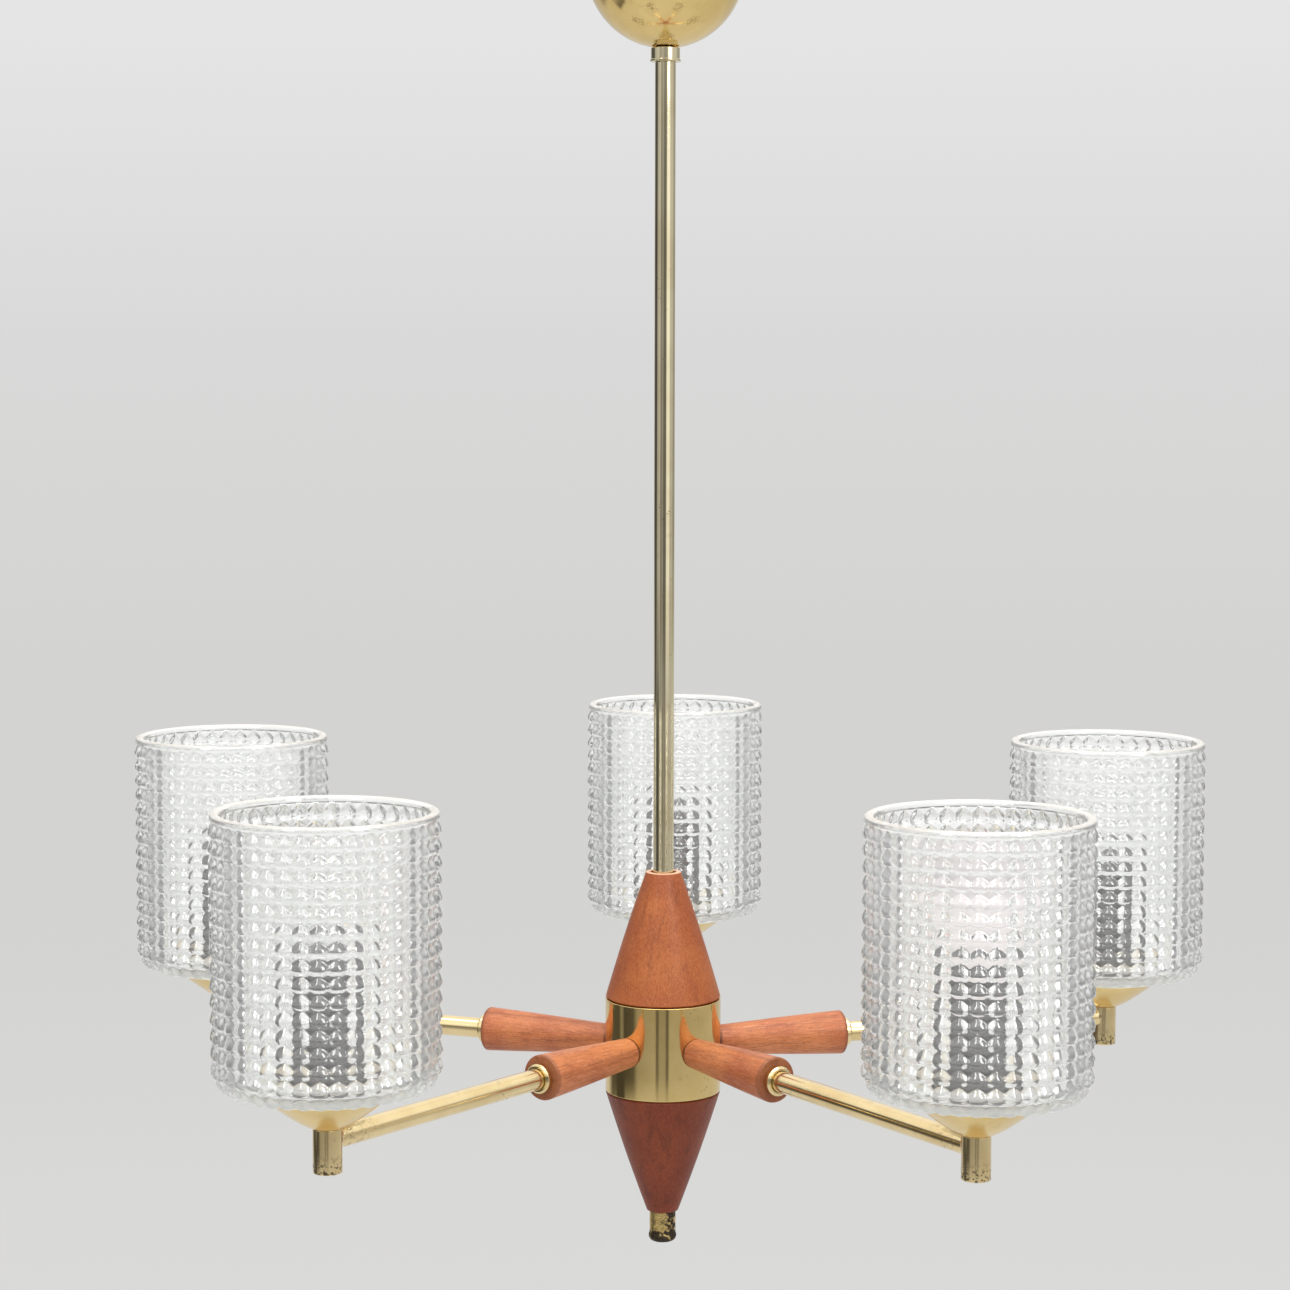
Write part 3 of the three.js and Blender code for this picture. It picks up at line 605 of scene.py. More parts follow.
# ---- hanger and canopy
def stirrup():
    (_, x1), (y0, y1), (z0, z1) = (span("hanger_stirrup", a) for a in (X, Y, Z))
    thick = z1  # the hook bears on the inside of the arch, at height 0

    def loop(y, inset):
        radius, foot = x1 - inset, z0 + inset
        line = arc(0, z1 - x1, radius, 0, math.pi, 40) + [(-radius, foot), (radius, foot)]
        return [(x, y, z) for x, z in line]

    part = loft([loop(y0, 0), loop(y1, 0), loop(y1, thick), loop(y0, thick)], True)
    obj = bevelled(make_object("stirrup_skin", part, ZINC), 0.3 * MM)
    settle(obj, "frame", "zinced_steel", "hanger_stirrup")


def nut(node):
    (low, high), flat = span(node, Z), radius_of(node, Y) * math.cos(math.pi / 6)
    face, bore, edge = flat * 0.96, STEM + 0.1 * MM, 0.5 * MM
    slope = math.tan(math.radians(30))
    rings = [(bore, edge), (bore + edge, 0), (face, 0), (None, None)]  # radius and inset; None: the hexagon
    loops = []
    for end, way, order in ((low, 1, rings), (high, -1, rings[::-1])):
        for radius, inset in order:
            loops.append([])
            for angle in around(72):
                r = radius or flat / math.cos((angle + math.pi / 6) % (math.pi / 3) - math.pi / 6)
                rise = inset if radius else (r - face) * slope
                loops[-1].append((r * math.sin(angle), r * math.cos(angle), end + way * rise))
    settle(make_object(f"{node}_skin", loft(loops, True), ZINC, 25), "frame", "zinced_steel", node)


def slotted_screw(radius, length, slot_width, slot_depth):
    """A screw's shank and slotted end, from 0 up to its length along Z."""
    neck, half = length - slot_depth, slot_width / 2
    shank = turned([(0, 0), (radius, 0, 0.1 * MM), (radius, neck), (0, neck)], 32, False)
    cheeks = []
    for side in (1, -1):
        ring = [(side * half, 0)]
        start = math.asin(half / radius)
        for k in range(13):
            angle = start + (math.pi - 2 * start) * k / 12
            ring.append((side * radius * math.sin(angle), radius * math.cos(angle)))
        count = len(ring)
        verts = [(x, y, z) for z in (neck, length) for x, y in ring]
        faces = [list(range(count)), list(range(count, 2 * count))]
        faces += [[i, (i + 1) % count, (i + 1) % count + count, i + count] for i in range(count)]
        cheeks.append((verts, faces))
    return join(shank, *cheeks)


def terminal_block():
    low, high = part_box("terminal_block")
    poles, gap, inset, waist = 3, 0.25 * MM, 3.6 * MM, 6.4 * MM
    pitch = (high.x - low.x) / poles
    base_top = low.z + (high.z - low.z) * 0.62
    seat, bore, rim = base_top - 1 * MM, 2.1 * MM, 3.1 * MM
    tower = turned([(bore, seat), (rim, seat), (rim, high.z, 0.4 * MM), (bore, high.z, 0.3 * MM)], 32)
    screw = slotted_screw(1.9 * MM, 3 * MM, 0.5 * MM, 0.6 * MM)
    parts, screws = [], []
    for pole in range(poles):
        x = low.x + pitch * (pole + 0.5)
        side = pitch / 2 - gap
        parts.append(slab((x - side, low.y, low.z), (x + side, high.y, base_top)))
        for y in (low.y + inset, high.y - inset):
            parts.append(moved(tower, shift(x, y, 0)))
            askew = Matrix.Rotation(0.7 * pole + y * 90, 4, "Z")
            screws.append(moved(screw, shift(x, y, seat) @ askew))
    end = (high.x - 1 * MM, high.y - waist, base_top - 0.6 * MM)
    parts.append(slab((low.x + 1 * MM, low.y + waist, low.z), end))
    obj = make_object("terminal_block_skin", join(*parts), BLOCK)
    settle(bevelled(obj, 0.25 * MM, 2), "frame", "block_plastic", "terminal_block")
    piece("terminal_screws", join(*screws), BRASS_AGED, "frame", "aged_brass")


def supply_cable():
    low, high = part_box("supply_cable")
    radius, bend = (high.x - low.x) / 2, 6 * MM
    axis = high.z - radius
    path = [(0, 0, low.z), (0, 0, (low.z + axis) / 2), (0, 0, axis - bend - 1 * MM)]
    path += [(0, y, z) for y, z in arc(bend, axis - bend, bend, math.pi, math.pi / 2, 12)]
    path.append((0, high.y, axis))
    piece("supply_cable_skin", sweep(path, radius * 0.98), SHEATH, "frame", "cable_sheath", "supply_cable")


def canopy():
    (z0, z1), outer = span("canopy", Z), radius_of("canopy")
    inner, hole = outer - 1 * MM, STEM + 0.6 * MM
    centre = z0 + math.sqrt(outer**2 - hole**2)
    outline = [
        *arc(0, centre, outer, -math.acos(hole / outer), 0, 56), (outer, z1, 0.4 * MM),
        (inner, z1, 0.4 * MM), *arc(0, centre, inner, 0, -math.acos(hole / inner), 56),
    ]
    piece("canopy_skin", turned(outline, 144), BRASS_BOWL, "canopy_set", "brass", "canopy")


def collar():
    (z0, z1), lip = span("canopy_collar", Z), radius_of("canopy_collar")
    radius, bore, fillet = lip - 0.4 * MM, STEM + 0.15 * MM, 0.25 * MM
    ring = turned([
        (bore, z0, 0.15 * MM), (lip, z0, fillet), (lip, z0 + 1 * MM, fillet),
        (radius, z0 + 1.1 * MM, 0.1 * MM), (radius, z1, 0.4 * MM), (bore, z1, 0.15 * MM),
    ])
    piece("collar_skin", ring, BRASS_DRAWN, "canopy_set", "brass", "canopy_collar")
    low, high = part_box("collar_screw")
    screw = moved(slotted_screw((high.z - low.z) / 2, high.y - low.y, 0.5 * MM, 0.7 * MM), ALONG_Y)
    place = (0, low.y, (low.z + high.z) / 2)
    piece("collar_screw_skin", screw, BRASS_AGED, "canopy_set", "aged_brass", "collar_screw", at=place)


def stem():
    (z0, z1), inner = span("stem_tube", Z), STEM - 1 * MM
    tube = turned([(inner, z0), (STEM, z0), (STEM, z1, 0.3 * MM), (inner, z1, 0.3 * MM)], 72)
    piece("stem_skin", tube, BRASS_DRAWN, "frame", "brass", "stem_tube")


# ---- hub
CHAMFER = 0.8 * MM  # at the cones' wide ends


def flank(base_radius, base, end_radius, end):
    """Flank points of a cone that is half a millimetre fuller than a straight one."""
    points, steps = [], 28
    for k in range(steps + 1):
        t = k / steps
        radius = base_radius + (end_radius - base_radius) * t + 0.5 * MM * math.sin(math.pi * t)
        points.append((radius, base + (end - base) * t))
    return points


def cones():
    (z0, z1), base = span("upper_cone", Z), radius_of("upper_cone")
    tip, bore = 8.5 * MM, STEM + 1.3 * MM
    side = flank(base, z0 + CHAMFER, tip, z1)
    outline = [
        (bore, z0), (base - CHAMFER, z0, 0.3 * MM), *side[:-1], (tip, z1, 0.45 * MM), (bore, z1, 0.3 * MM),
    ]
    wood = teak("teak_upper_cone", "Z", (0.78, 0.82, 0.8), z1)
    piece("upper_cone_skin", turned(outline, 128), wood, "upper_cone", "teak", "upper_cone")

    (z0, z1), tip = span("lower_cone", Z), 7.7 * MM
    seat, spigot = DRUM_Z[0] - 0.3 * MM, DRUM - 3.3 * MM
    side = flank(base, seat - CHAMFER, tip, z0)
    outline = [
        (BORE, z1), (spigot, z1, 0.4 * MM), (spigot, seat), (base - CHAMFER, seat, 0.3 * MM),
        *side[:-1], (tip, z0, 0.5 * MM), (BORE, z0),
    ]
    wood = teak("teak_lower_cone", "Z", (0.43, 0.29, 0.26))
    piece("lower_cone_skin", turned(outline, 128), wood, "frame", "teak", "lower_cone")


def drum():
    z0, z1 = DRUM_Z
    wall, bore, edge = 3 * MM, STEM + 0.2 * MM, 0.35 * MM
    inner, under = DRUM - wall, z1 - wall
    outline = [
        (bore, z1), (DRUM, z1, edge), (DRUM, z0, edge), (inner, z0, edge), (inner, under), (bore, under),
    ]
    piece("drum_skin", turned(outline, 160), BRASS_TURNED, "frame", "brass", "hub_drum")


def finial():
    (z0, z1), bead = span("finial", Z), radius_of("finial")
    ferrule, half = 6.4 * MM, 2.85 * MM
    core, middle = bead - half, z0 + half
    start = math.acos((ferrule - core) / half)
    outline = [(BORE, z1, 0.2 * MM), (ferrule, z1, 0.3 * MM)]
    for k in range(1, 9):
        outline.append((ferrule, z1 + (middle + half * math.sin(start) - z1) * k / 9))
    outline += arc(core, middle, half, start, -math.pi / 2, 16)
    outline += [(0, z0), (0, z1 - 8 * MM), (BORE, z1 - 8 * MM)]
    obj = make_object("finial_skin", turned(outline), BRASS_FINIAL)
    roughen(obj, z1 - 2 * MM, 0.22 * MM)
    settle(obj, "frame", "aged_brass", "finial")


def roughen(obj, top, depth):
    """Pits a turned piece inwards below a height, as corrosion does."""
    for vertex in obj.data.vertices:
        if vertex.co.z < top and vertex.co.xy.length > 1e-4:
            pit = max(0.0, noise.noise(vertex.co * 900) + 0.5 * noise.noise(vertex.co * 2300))
            vertex.co.xy *= 1 - pit * depth / vertex.co.xy.length


# ---- arms
def arms():
    low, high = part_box("arm_1")
    radius, inner, end_radius, way = 5 * MM, 4 * MM, 6.4 * MM, 3.6 * MM
    above, under = HUB + 5.2 * MM, high.z - 4 * MM
    tube = turned([(inner, low.y), (radius, low.y, 0.2 * MM), (radius, REACH), (inner, REACH)], 64)
    end = turned([
        (0, low.z), (end_radius, low.z, 0.6 * MM), (end_radius, above, 0.35 * MM), (radius, above, 0.1 * MM),
        (radius, high.z, 0.3 * MM), (way, high.z, 0.2 * MM), (way, under), (0, under),
    ], 80, False)
    part = join(moved(moved(tube, ALONG_Y), AT_HUB), moved(end, AT_SHADE), braze(radius, end_radius))
    on_each_arm("arm", part, BRASS_ARM, "brass")


def braze(radius, end_radius):
    """The small uneven fillet of brazing where an arm meets its end tube."""
    loops = []
    for grow, along in ((0.02, 0.9), (0.15, 0.45), (0.5, 0.15), (0.75, 0.0)):
        loops.append([])
        for angle in around(72):
            uneven = 0.75 + 0.25 * math.sin(3 * angle + 1) * math.sin(7 * angle)
            r = radius + grow * MM * uneven
            x = r * math.sin(angle)
            y = REACH - math.sqrt(max(end_radius**2 - x * x, 0)) - along * MM * uneven + 0.05 * MM
            loops[-1].append((x, y, HUB + r * math.cos(angle)))
    return loft(loops, False)


def sleeves():
    low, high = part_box("sleeve_1")
    inner, outer, start, steps = 7.2 * MM, high.x, DRUM + 0.3 * MM, 24
    outline = [(BORE, start)]
    for k in range(steps + 1):
        t = k / steps
        swell = 0.25 * MM * math.sin(math.pi * t)
        outline.append((inner + (outer - inner) * t + swell * t, start + (high.y - start) * t))
    outline[-1] = (outer, high.y, 1.6 * MM)
    outline += [(BORE + 0.6 * MM, high.y), (BORE, high.y - 0.5 * MM)]
    verts, faces = moved(turned(outline), ALONG_Y)
    hug = []  # the inner end follows the drum's curve
    for x, y, z in verts:
        if y < start + 1e-6:
            y = math.sqrt(start**2 - x * x)
        hug.append((x, y, z + HUB))
    wood = teak("teak_sleeve", "Y", (1.0, 1.25, 1.8), corner_shade_and_dark_end=sleeve_ends)
    on_each_arm("sleeve", (hug, faces), wood, "teak")

    low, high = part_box("ferrule_1")
    radius, step, bore = high.x, 0.9 * MM, 5.2 * MM
    part = turned([
        (bore, low.y), (radius, low.y, 0.3 * MM), (radius, high.y - step, 0.35 * MM),
        (radius - step, high.y, 0.3 * MM), (bore, high.y, 0.2 * MM),
    ], 80)
    on_each_arm("ferrule", moved(moved(part, ALONG_Y), AT_HUB), BRASS_ARM, "brass")


# ---- shade sets, on the axis of arm 1's end tube
def cups():
    z0, z1 = span("cup_1", Z)
    rim, wall, floor, steps = radius_of("cup_1", Y), 1.2 * MM, 7 * MM, 24

    def bowl(inset, rise):
        start, knee = (floor, z0 + rise), (13 * MM, z0 + 2 * MM + rise)
        return [curve(start, knee, (rim - inset, z1), k / steps) for k in range(steps)]

    outline = [
        (BORE, z0), *bowl(0, 0), (rim, z1, 0.3 * MM), (rim - wall, z1, 0.3 * MM), *bowl(wall, wall)[::-1],
        (BORE, z0 + wall),
    ]
    on_each_arm("cup", moved(turned(outline, 128), AT_SHADE), BRASS_SPUN, "brass")


NUB_COLUMNS, NUB_STEPS = 40, 10
NUB_HEIGHT, NUB_PITCH, RIM_BAND = 2.3 * MM, 7.3 * MM, 2.9 * MM


def nub(u, v):
    """Height of a bell-shaped nub over its cell, with u and v from -1 to 1 and arrays of one shape."""
    top, foot = 1 - 0.8 * np.abs(u) ** 1.3, -1 + 0.4 * u**2
    crest = foot + 0.28 * (top - foot)
    above = np.clip((v - crest) / (top - crest), 0, 1)
    below = np.clip((crest - v) / (crest - foot), 0, 1)
    return (1 - 0.5 * u**2) * np.where(v > crest, 1 - above**1.5, 1 - below**2)


def distances(line):
    """How far along a polyline each of its points is."""
    return np.concatenate([[0], np.cumsum(np.hypot(*np.diff(line, axis=0).T))])


def meridian(points, count):
    """Evenly spaced points along a polyline, with their outward normals."""
    line = np.array(points)
    place = distances(line)
    at = np.linspace(0, place[-1], count)
    even = np.stack([np.interp(at, place, line[:, k]) for k in (0, 1)], -1)
    slope = np.gradient(even, axis=0)
    normal = np.stack([slope[:, 1], -slope[:, 0]], -1)
    return even, normal / np.hypot(*normal.T)[:, None]


def glass_shades():
    """A lathed shade, with nubs on its outer skin from under the rim band down round the foot's corner."""
    (z0, z1), tip = span("glass_shade_1", Z), radius_of("glass_shade_1", Y)
    skin, rim, inside = tip - NUB_HEIGHT, tip - 0.6 * MM, tip - 5 * MM
    hole, flat, dish, corner, bend, chamfer = 14.5 * MM, 28 * MM, 4 * MM, 7 * MM, 4.5 * MM, 0.6 * MM
    foot, floor, top = z0 + dish + corner, z0 + 4 * MM, z1 - RIM_BAND

    wall = arc(skin - corner, foot, corner, -math.pi / 2, 0, 40) + [(skin, top)]
    length = (top - foot) + corner * math.pi / 2
    rows = int(length / NUB_PITCH)
    start = length - rows * NUB_PITCH
    line = np.array(wall)
    place = distances(line)
    cut = [np.interp(start, place, line[:, k]) for k in (0, 1)]
    wall = [tuple(cut)] + [point for point, along in zip(wall, place) if along > start]
    skin_line, normal = meridian(wall, rows * NUB_STEPS + 1)

    sides = NUB_COLUMNS * NUB_STEPS
    angle = 2 * math.pi * np.arange(sides) / sides
    u, v = np.meshgrid(*(2 * ((np.arange(n) / NUB_STEPS) % 1) - 1 for n in (sides, rows * NUB_STEPS + 1)))
    low = np.clip((skin_line[:, 1, None] - z0) / (corner + dish), 0, 1)
    height = NUB_HEIGHT * nub(u, v) * (0.5 + 0.5 * low)
    nubs = [skin_line[:, k, None] + normal[:, k, None] * height for k in (0, 1)]

    before = [(hole, z0 + chamfer), (hole + chamfer, z0), (flat, z0)]
    for t in (k / 7 for k in range(1, 7)):
        before.append((flat + (cut[0] - flat) * t, z0 + (cut[1] - z0) * ease(t)))
    middle, half = (rim + inside) / 2, (rim - inside) / 2
    after = [(rim, top + 0.4 * MM), (rim, z1 - 1.7 * MM)]
    after += [(r, z1 - 1.6 * MM + (h - z1) * 0.9) for r, h in arc(middle, z1, half, 0, math.pi, 8)]
    after += [(inside, z1 - 2 * MM), (inside, floor + dish + bend)]
    after += arc(inside - bend, floor + dish + bend, bend, 0, -math.pi / 2, 8)
    for t in (k / 6 for k in range(1, 6)):
        after.append((inside - bend + (flat - inside + bend) * t, floor + dish * (1 - ease(t))))
    after += [(flat, floor), (hole + chamfer, floor), (hole, floor - chamfer)]

    def plain(points, k):
        return np.array(points)[:, k, None] * np.ones(sides)

    radius, level = (np.vstack([plain(before, k), nubs[k], plain(after, k)]) for k in (0, 1))
    loops = np.stack([radius * np.sin(angle), radius * np.cos(angle), level], -1)
    on_each_arm("glass_shade", loft(loops, True), GLASS, "pressed_glass", 80, reach=REACH)


def thread(radius, depth, low, high, pitch):
    """Points up a rolled thread's profile."""
    steps = 8
    count = max(1, round((high - low) / pitch)) * steps
    return [
        (radius - depth * (0.5 - 0.5 * math.cos(2 * math.pi * k / steps)), low + (high - low) * k / count)
        for k in range(count + 1)
    ]


def lampholders():
    (z0, z1), radius = span("lampholder_1", Z), radius_of("lampholder_1", Y)
    neck, socket, way = 6.8 * MM, 7.4 * MM, 3 * MM
    floor, shoulder, under = z1 - 28 * MM, z0 + 4.5 * MM, z0 + 12 * MM
    outline = [
        (BORE, z0), (neck, z0, 0.4 * MM), (neck, shoulder, 0.3 * MM),
        (radius - 0.3 * MM, shoulder + 6 * MM, 1 * MM),
        *thread(radius, 0.9 * MM, shoulder + 7.5 * MM, z1 - 9 * MM, 2.5 * MM),
        (radius, z1 - 8.4 * MM, 0.3 * MM), (radius, z1, 1 * MM), (socket + 1 * MM, z1, 0.5 * MM),
        (socket, z1 - 1.5 * MM, 0.3 * MM), (socket, floor), (way, floor), (way, under), (BORE, under),
    ]
    on_each_arm("lampholder", moved(turned(outline), AT_SHADE), BAKELITE, "bakelite")
    inner, outer, low, high = socket - 0.1 * MM, socket - 0.05 * MM, floor + 3 * MM, z1 - 3 * MM
    liner = thread(inner, 0.35 * MM, low + 3 * MM, high, E14_PITCH)[::-1]
    liner = moved(turn(liner + [(inner, low), (outer, low), (outer, high)], 64), AT_SHADE)
    on_each_arm("socket_liner", liner, ZINC, "zinced_steel", replaces=False)
    foot, crest = floor + 0.05 * MM, floor + 0.28 * MM
    contact = [(0, foot), (2.4 * MM, foot, 0.3 * MM), (2 * MM, crest - 0.02 * MM, 0.1 * MM), (0, crest)]
    contact = moved(turned(contact, 40, False), AT_SHADE)
    on_each_arm("socket_contact", contact, BRASS_TURNED, "brass", replaces=False)


def shade_rings():
    (z0, z1), radius = span("shade_ring_1", Z), radius_of("shade_ring_1", Y)
    bore, ledge, skirt = 13.75 * MM, z1 - 0.8 * MM, 1.2 * MM
    sides, grips = 192, 24
    verts, faces = turned([
        (bore, z0, 0.3 * MM), (radius, z0, 0.5 * MM), (radius, z1, 0.8 * MM), (bore + 3 * MM, z1, 0.4 * MM),
        (bore + 2.4 * MM, ledge, 0.3 * MM), (bore, ledge, 0.3 * MM),
    ], sides)
    gripped = []
    for i, (x, y, z) in enumerate(verts):
        r = math.hypot(x, y)
        share = max(0.0, (r - radius + skirt) / skirt)
        cut = 0.7 * MM * share * max(0.0, math.cos(2 * math.pi * grips * (i % sides) / sides)) ** 2
        gripped.append((x * (1 - cut / r), y * (1 - cut / r), z))
    on_each_arm("shade_ring", moved((gripped, faces), AT_SHADE), BAKELITE, "bakelite")


# ---- bulb
def bulb():
    low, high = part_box("bulb_glass")
    centre = ((low.x + high.x) / 2, (low.y + high.y) / 2, 0)
    ball, neck, wall = radius_of("bulb_glass"), 8.5 * MM, 0.8 * MM
    middle, collar_top = high.z - ball, low.z + 5 * MM
    outline = [(neck - wall, low.z), (neck, low.z, 0.3 * MM), (neck, collar_top)]
    # the ball's curve runs into the neck through a wide fillet
    crown = arc(0, middle, ball, math.radians(-46), math.pi / 2, 40)
    knee = (neck + 0.2 * MM, low.z + 9.5 * MM)
    outline += [curve((neck, collar_top), knee, crown[0], k / 10) for k in range(1, 10)]
    outline += [*crown[:-1], (0, high.z), (0, high.z - wall), (neck - wall, low.z + 6 * MM)]
    piece("bulb_glass_skin", turned(outline), OPAL, "bulb", "opal_glass", "bulb_glass", at=centre)

    (z0, z1), radius = span("bulb_cap", Z), radius_of("bulb_cap")
    outline = [
        (0, z0 + 0.6 * MM), (radius - 1.6 * MM, z0 + 0.6 * MM), (radius - 1.2 * MM, z0 + 1.4 * MM),
        *thread(radius, 0.5 * MM, z0 + 2.5 * MM, z1 - 4.5 * MM, E14_PITCH),
        (radius, z1 - 3.5 * MM), (radius, z1, 0.3 * MM), (radius - 0.8 * MM, z1), (0, z1 - 0.4 * MM),
    ]
    piece("bulb_cap_skin", turned(outline, 72, False), ZINC, "bulb", "zinced_steel", "bulb_cap", at=centre)
    button = [(0, z0), (2.2 * MM, z0, 0.3 * MM), (3.4 * MM, z0 + 0.7 * MM), (0, z0 + 0.7 * MM)]
    piece("bulb_button", turned(button, 40, False), BAKELITE, "bulb", "bakelite", at=centre)

    (z0, z1), radius = span("bulb_contact", Z), radius_of("bulb_contact")
    tip = turned([
        (0, z0), (radius, z0, 0.3 * MM), (radius, z1 - 1 * MM, 0.5 * MM), (1.4 * MM, z1, 0.4 * MM), (0, z1),
    ], 48, False)
    piece("bulb_contact_skin", tip, ZINC, "bulb_contact", "zinced_steel", "bulb_contact", at=centre)


# ---- pieces that keep their CAD shape
def hidden_pieces():
    looks = {"hub_coupler": BRASS_AGED, "splice_block": BLOCK, "tie_rod": ZINC}
    looks.update({f"arm_lead_{arm}": SHEATH for arm in ARMS})
    for name, material in looks.items():
        mesh = frame["nodes"][name].data
        mesh.materials.clear()
        mesh.materials.append(material)


# ---- stage
PALE = (  # sine of the elevation, and the backdrop's grey level there
    (-0.6, 0.742), (-0.295, 0.708), (-0.24, 0.68), (-0.19, 0.658), (-0.14, 0.65), (-0.09, 0.656),
    (-0.04, 0.676), (0.01, 0.692), (0.06, 0.735), (0.12, 0.785), (0.5, 0.8),
)


def backdrop(paint, sine):
    """The backdrop's colour for the sine of an elevation, a little warmer low down."""
    stops = []
    for height, level in PALE:
        warm = min(1, max(0, (0.02 - height) * 8))
        stops.append((height, (level, level * (1 - 0.004 * warm), level * (1 - 0.022 * warm))))
    return paint.ramp(sine, stops)


# How bright the room is for reflections, below and above eye level, by azimuth in turns: 0 behind the lamp,
# 0.25 at its left, 0.5 behind the camera and 0.75 at its right.
ROOM_LOW = (
    (0.0, 1.0), (0.12, 0.95), (0.155, 0.35), (0.165, 0.16), (0.235, 0.14), (0.25, 0.42), (0.262, 0.42),
    (0.272, 0.12), (0.335, 0.16), (0.36, 0.55), (0.462, 0.66), (0.468, 0.2), (0.478, 0.22), (0.483, 0.55),
    (0.517, 0.55), (0.522, 0.22), (0.532, 0.2), (0.538, 0.72), (0.66, 0.78), (0.86, 0.9), (1.0, 1.0),
)
ROOM_HIGH = (
    (0.0, 1.0), (0.09, 0.7), (0.12, 0.14), (0.235, 0.1), (0.265, 0.6), (0.36, 0.8), (0.385, 0.3),
    (0.455, 0.5), (0.475, 0.22), (0.545, 0.22), (0.57, 1.4), (0.65, 1.45), (0.68, 0.8), (0.77, 0.8),
    (0.81, 0.5), (0.9, 0.5), (0.95, 1.0), (1.0, 1.0),
)
DARK_TURN, DARK_SINE = (0.2, 0.28), (-0.5, -0.2)  # a dark piece of the room low on its left


def turn_of(paint, x, y):
    """The azimuth in turns, as the room's levels count it, of a horizontal direction."""
    share = paint.math("DIVIDE", paint.math("ARCTAN2", x, y), -2 * math.pi)
    return paint.math("FRACT", paint.plus(share, 1.0))


def dark_side(paint, azimuth, sine):
    """1 in the directions of the dark piece of the room, with soft edges."""
    def within(value, low, high, edge):
        return paint.mul(paint.band(value, low, low + edge), paint.band(value, high, high - edge))

    return paint.mul(within(azimuth, *DARK_TURN, 0.015), within(sine, *DARK_SINE, 0.04))


def grey(level):
    return (level, level, level)


def world():
    """Plain light all round; the backdrop for the camera, and the room's levels for reflections."""
    scene_world = bpy.data.worlds.new("studio")
    scene_world.use_nodes = True
    bpy.context.scene.world = scene_world
    paint = Paint("studio", scene_world.node_tree)
    place = paint.add("ShaderNodeTexCoord").outputs["Generated"]
    way = paint.add("ShaderNodeSeparateXYZ", Vector=place).outputs
    seen = backdrop(paint, way["Z"])
    azimuth = turn_of(paint, way["X"], way["Y"])
    rooms = ([(at, grey(level)) for at, level in room] for room in (ROOM_LOW, ROOM_HIGH))
    low, high = (paint.ramp(azimuth, room) for room in rooms)
    walls = paint.blend(paint.band(way["Z"], -0.1, -0.02), low, high)
    walls = paint.blend(paint.band(way["Z"], -0.28, -0.42), walls, grey(1.0))
    walls = paint.blend(paint.band(way["Z"], 0.16, 0.35), walls, grey(1.4))
    dark = dark_side(paint, azimuth, way["Z"])
    walls = paint.blend(dark, walls, grey(0.1))
    bent = paint.blend(dark, (0.9, 0.9, 0.895), grey(0.08))

    rays = paint.add("ShaderNodeLightPath").outputs
    colour = paint.blend(rays["Is Glossy Ray"], grey(0.62), paint.times(seen, walls))
    colour = paint.blend(rays["Is Transmission Ray"], colour, bent)
    colour = paint.blend(rays["Is Camera Ray"], colour, seen)
    shine = paint.add("ShaderNodeBackground", Color=colour)
    paint.add("ShaderNodeOutputWorld", Surface=shine.outputs[0])


FLOOR = -1.45  # the floor's height
EYE_DISTANCE, EYE_HEIGHT = 1.42, -0.2  # about where the camera stands


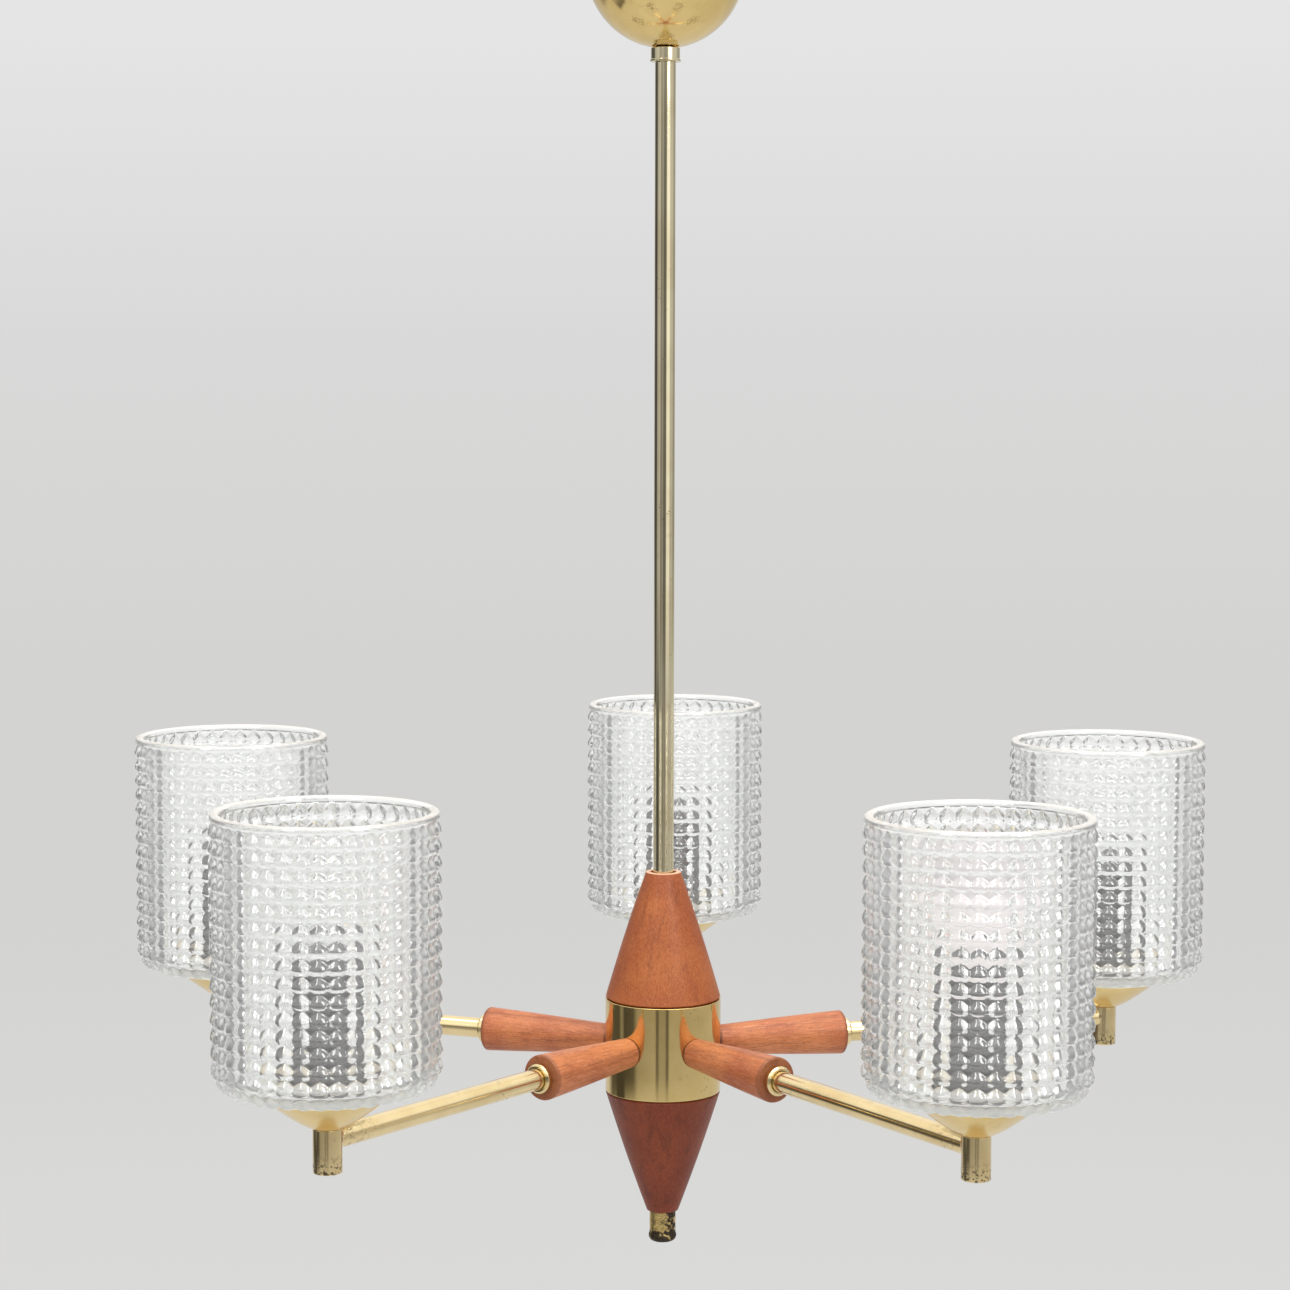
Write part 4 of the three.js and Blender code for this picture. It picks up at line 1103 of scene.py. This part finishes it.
def floor():
    """A pale round floor far below, which takes the lamp's shadow, fades out, and is clear from beneath."""
    paint = Paint("pale_floor")
    geometry = paint.add("ShaderNodeNewGeometry").outputs
    place = paint.add("ShaderNodeSeparateXYZ", Vector=geometry["Position"])
    x, y = place.outputs["X"], place.outputs["Y"]

    def slant(a, b):
        return paint.math("SQRT", paint.plus(paint.math("POWER", a, 2.0), paint.math("POWER", b, 2.0)))

    away, below_eye, below_hub = slant(x, y), FLOOR - EYE_HEIGHT, FLOOR - HUB
    sight = slant(paint.plus(away, EYE_DISTANCE), below_eye)
    rays = paint.add("ShaderNodeLightPath").outputs
    dark = dark_side(paint, turn_of(paint, x, y), paint.math("DIVIDE", below_hub, slant(away, below_hub)))
    dark = paint.mul(dark, paint.minus(1.0, rays["Is Camera Ray"]))
    colour = paint.blend(dark, backdrop(paint, paint.math("DIVIDE", below_eye, sight)), grey(0.09))
    glow = paint.add("ShaderNodeEmission", Color=colour)
    speckle = paint.noise(6, 2, shuffle=False)
    tint = paint.blend(paint.band(speckle, 0.3, 0.7), (0.78, 0.78, 0.77), (0.8, 0.8, 0.79))
    tint = paint.blend(dark, tint, grey(0.05))
    matt = paint.add("ShaderNodeBsdfDiffuse", Color=tint)
    seen = paint.most(rays["Is Glossy Ray"], rays["Is Transmission Ray"])
    seen = paint.most(rays["Is Camera Ray"], seen)
    lit = paint.mixed(paint.mul(seen, 0.72), matt.outputs[0], glow.outputs[0])
    faded = paint.most(paint.band(away, 1.4, 3.2), geometry["Backfacing"])
    lit = paint.mixed(faded, lit, paint.add("ShaderNodeBsdfTransparent").outputs[0])
    disc = turn([(0, 0), (1, 0), (2, 0), (3.3, 0)], 64, False)
    obj = make_object("studio_floor", disc, paint.surface(lit))
    obj.location.z = FLOOR


def lamp(name, size, energy, place):
    """A white area lamp that points at the hub."""
    data = bpy.data.lights.new(name, "AREA")
    data.shape = "RECTANGLE"
    data.size, data.size_y = size
    data.energy = energy
    obj = new_object(name, data)
    obj.location = place
    obj.rotation_euler = (Vector((0, 0, HUB)) - Vector(place)).to_track_quat("-Z", "Y").to_euler()


def lamps():
    lamp("overhead", (1.8, 1.8), 30, (0.1, -0.2, 1.3))
    lamp("front_right", (0.6, 0.6), 9, (1.2, -1.5, 0.6))
    lamp("front_left", (0.5, 0.5), 5, (-1.0, -1.6, 0.9))
    lamp("front_top", (2.6, 1.6), 12, (0.0, -1.5, 1.3))


def camera():
    """The photo's camera, as fitted to the arms' ends, the shades' rims and the hub."""
    data = bpy.data.cameras.new("camera")
    data.sensor_width = 36
    data.lens = 82.07
    azimuth, pitch, roll = (math.radians(a) for a in (-1.908, 5.141, 0.115))
    level = math.cos(pitch)
    ahead = Vector((math.sin(azimuth) * level, math.cos(azimuth) * level, -math.sin(pitch)))
    right = Vector((math.cos(azimuth), -math.sin(azimuth), 0))
    up = right.cross(ahead)
    tilted_right = right * math.cos(roll) + up * math.sin(roll)
    tilted_up = up * math.cos(roll) - right * math.sin(roll)
    obj = new_object("camera", data)
    matrix = Matrix((tilted_right, tilted_up, -ahead)).transposed().to_4x4()
    matrix.translation = (0.0381, -1.4202, HUB + 0.323946)
    obj.matrix_world = matrix
    bpy.context.scene.camera = obj


camera()
stirrup()
nut("hanger_nut_upper")
nut("hanger_nut_lower")
terminal_block()
supply_cable()
canopy()
collar()
stem()
cones()
drum()
finial()
arms()
sleeves()
cups()
glass_shades()
lampholders()
shade_rings()
bulb()
hidden_pieces()
world()
floor()
lamps()
bpy.context.scene.view_settings.view_transform = "Standard"
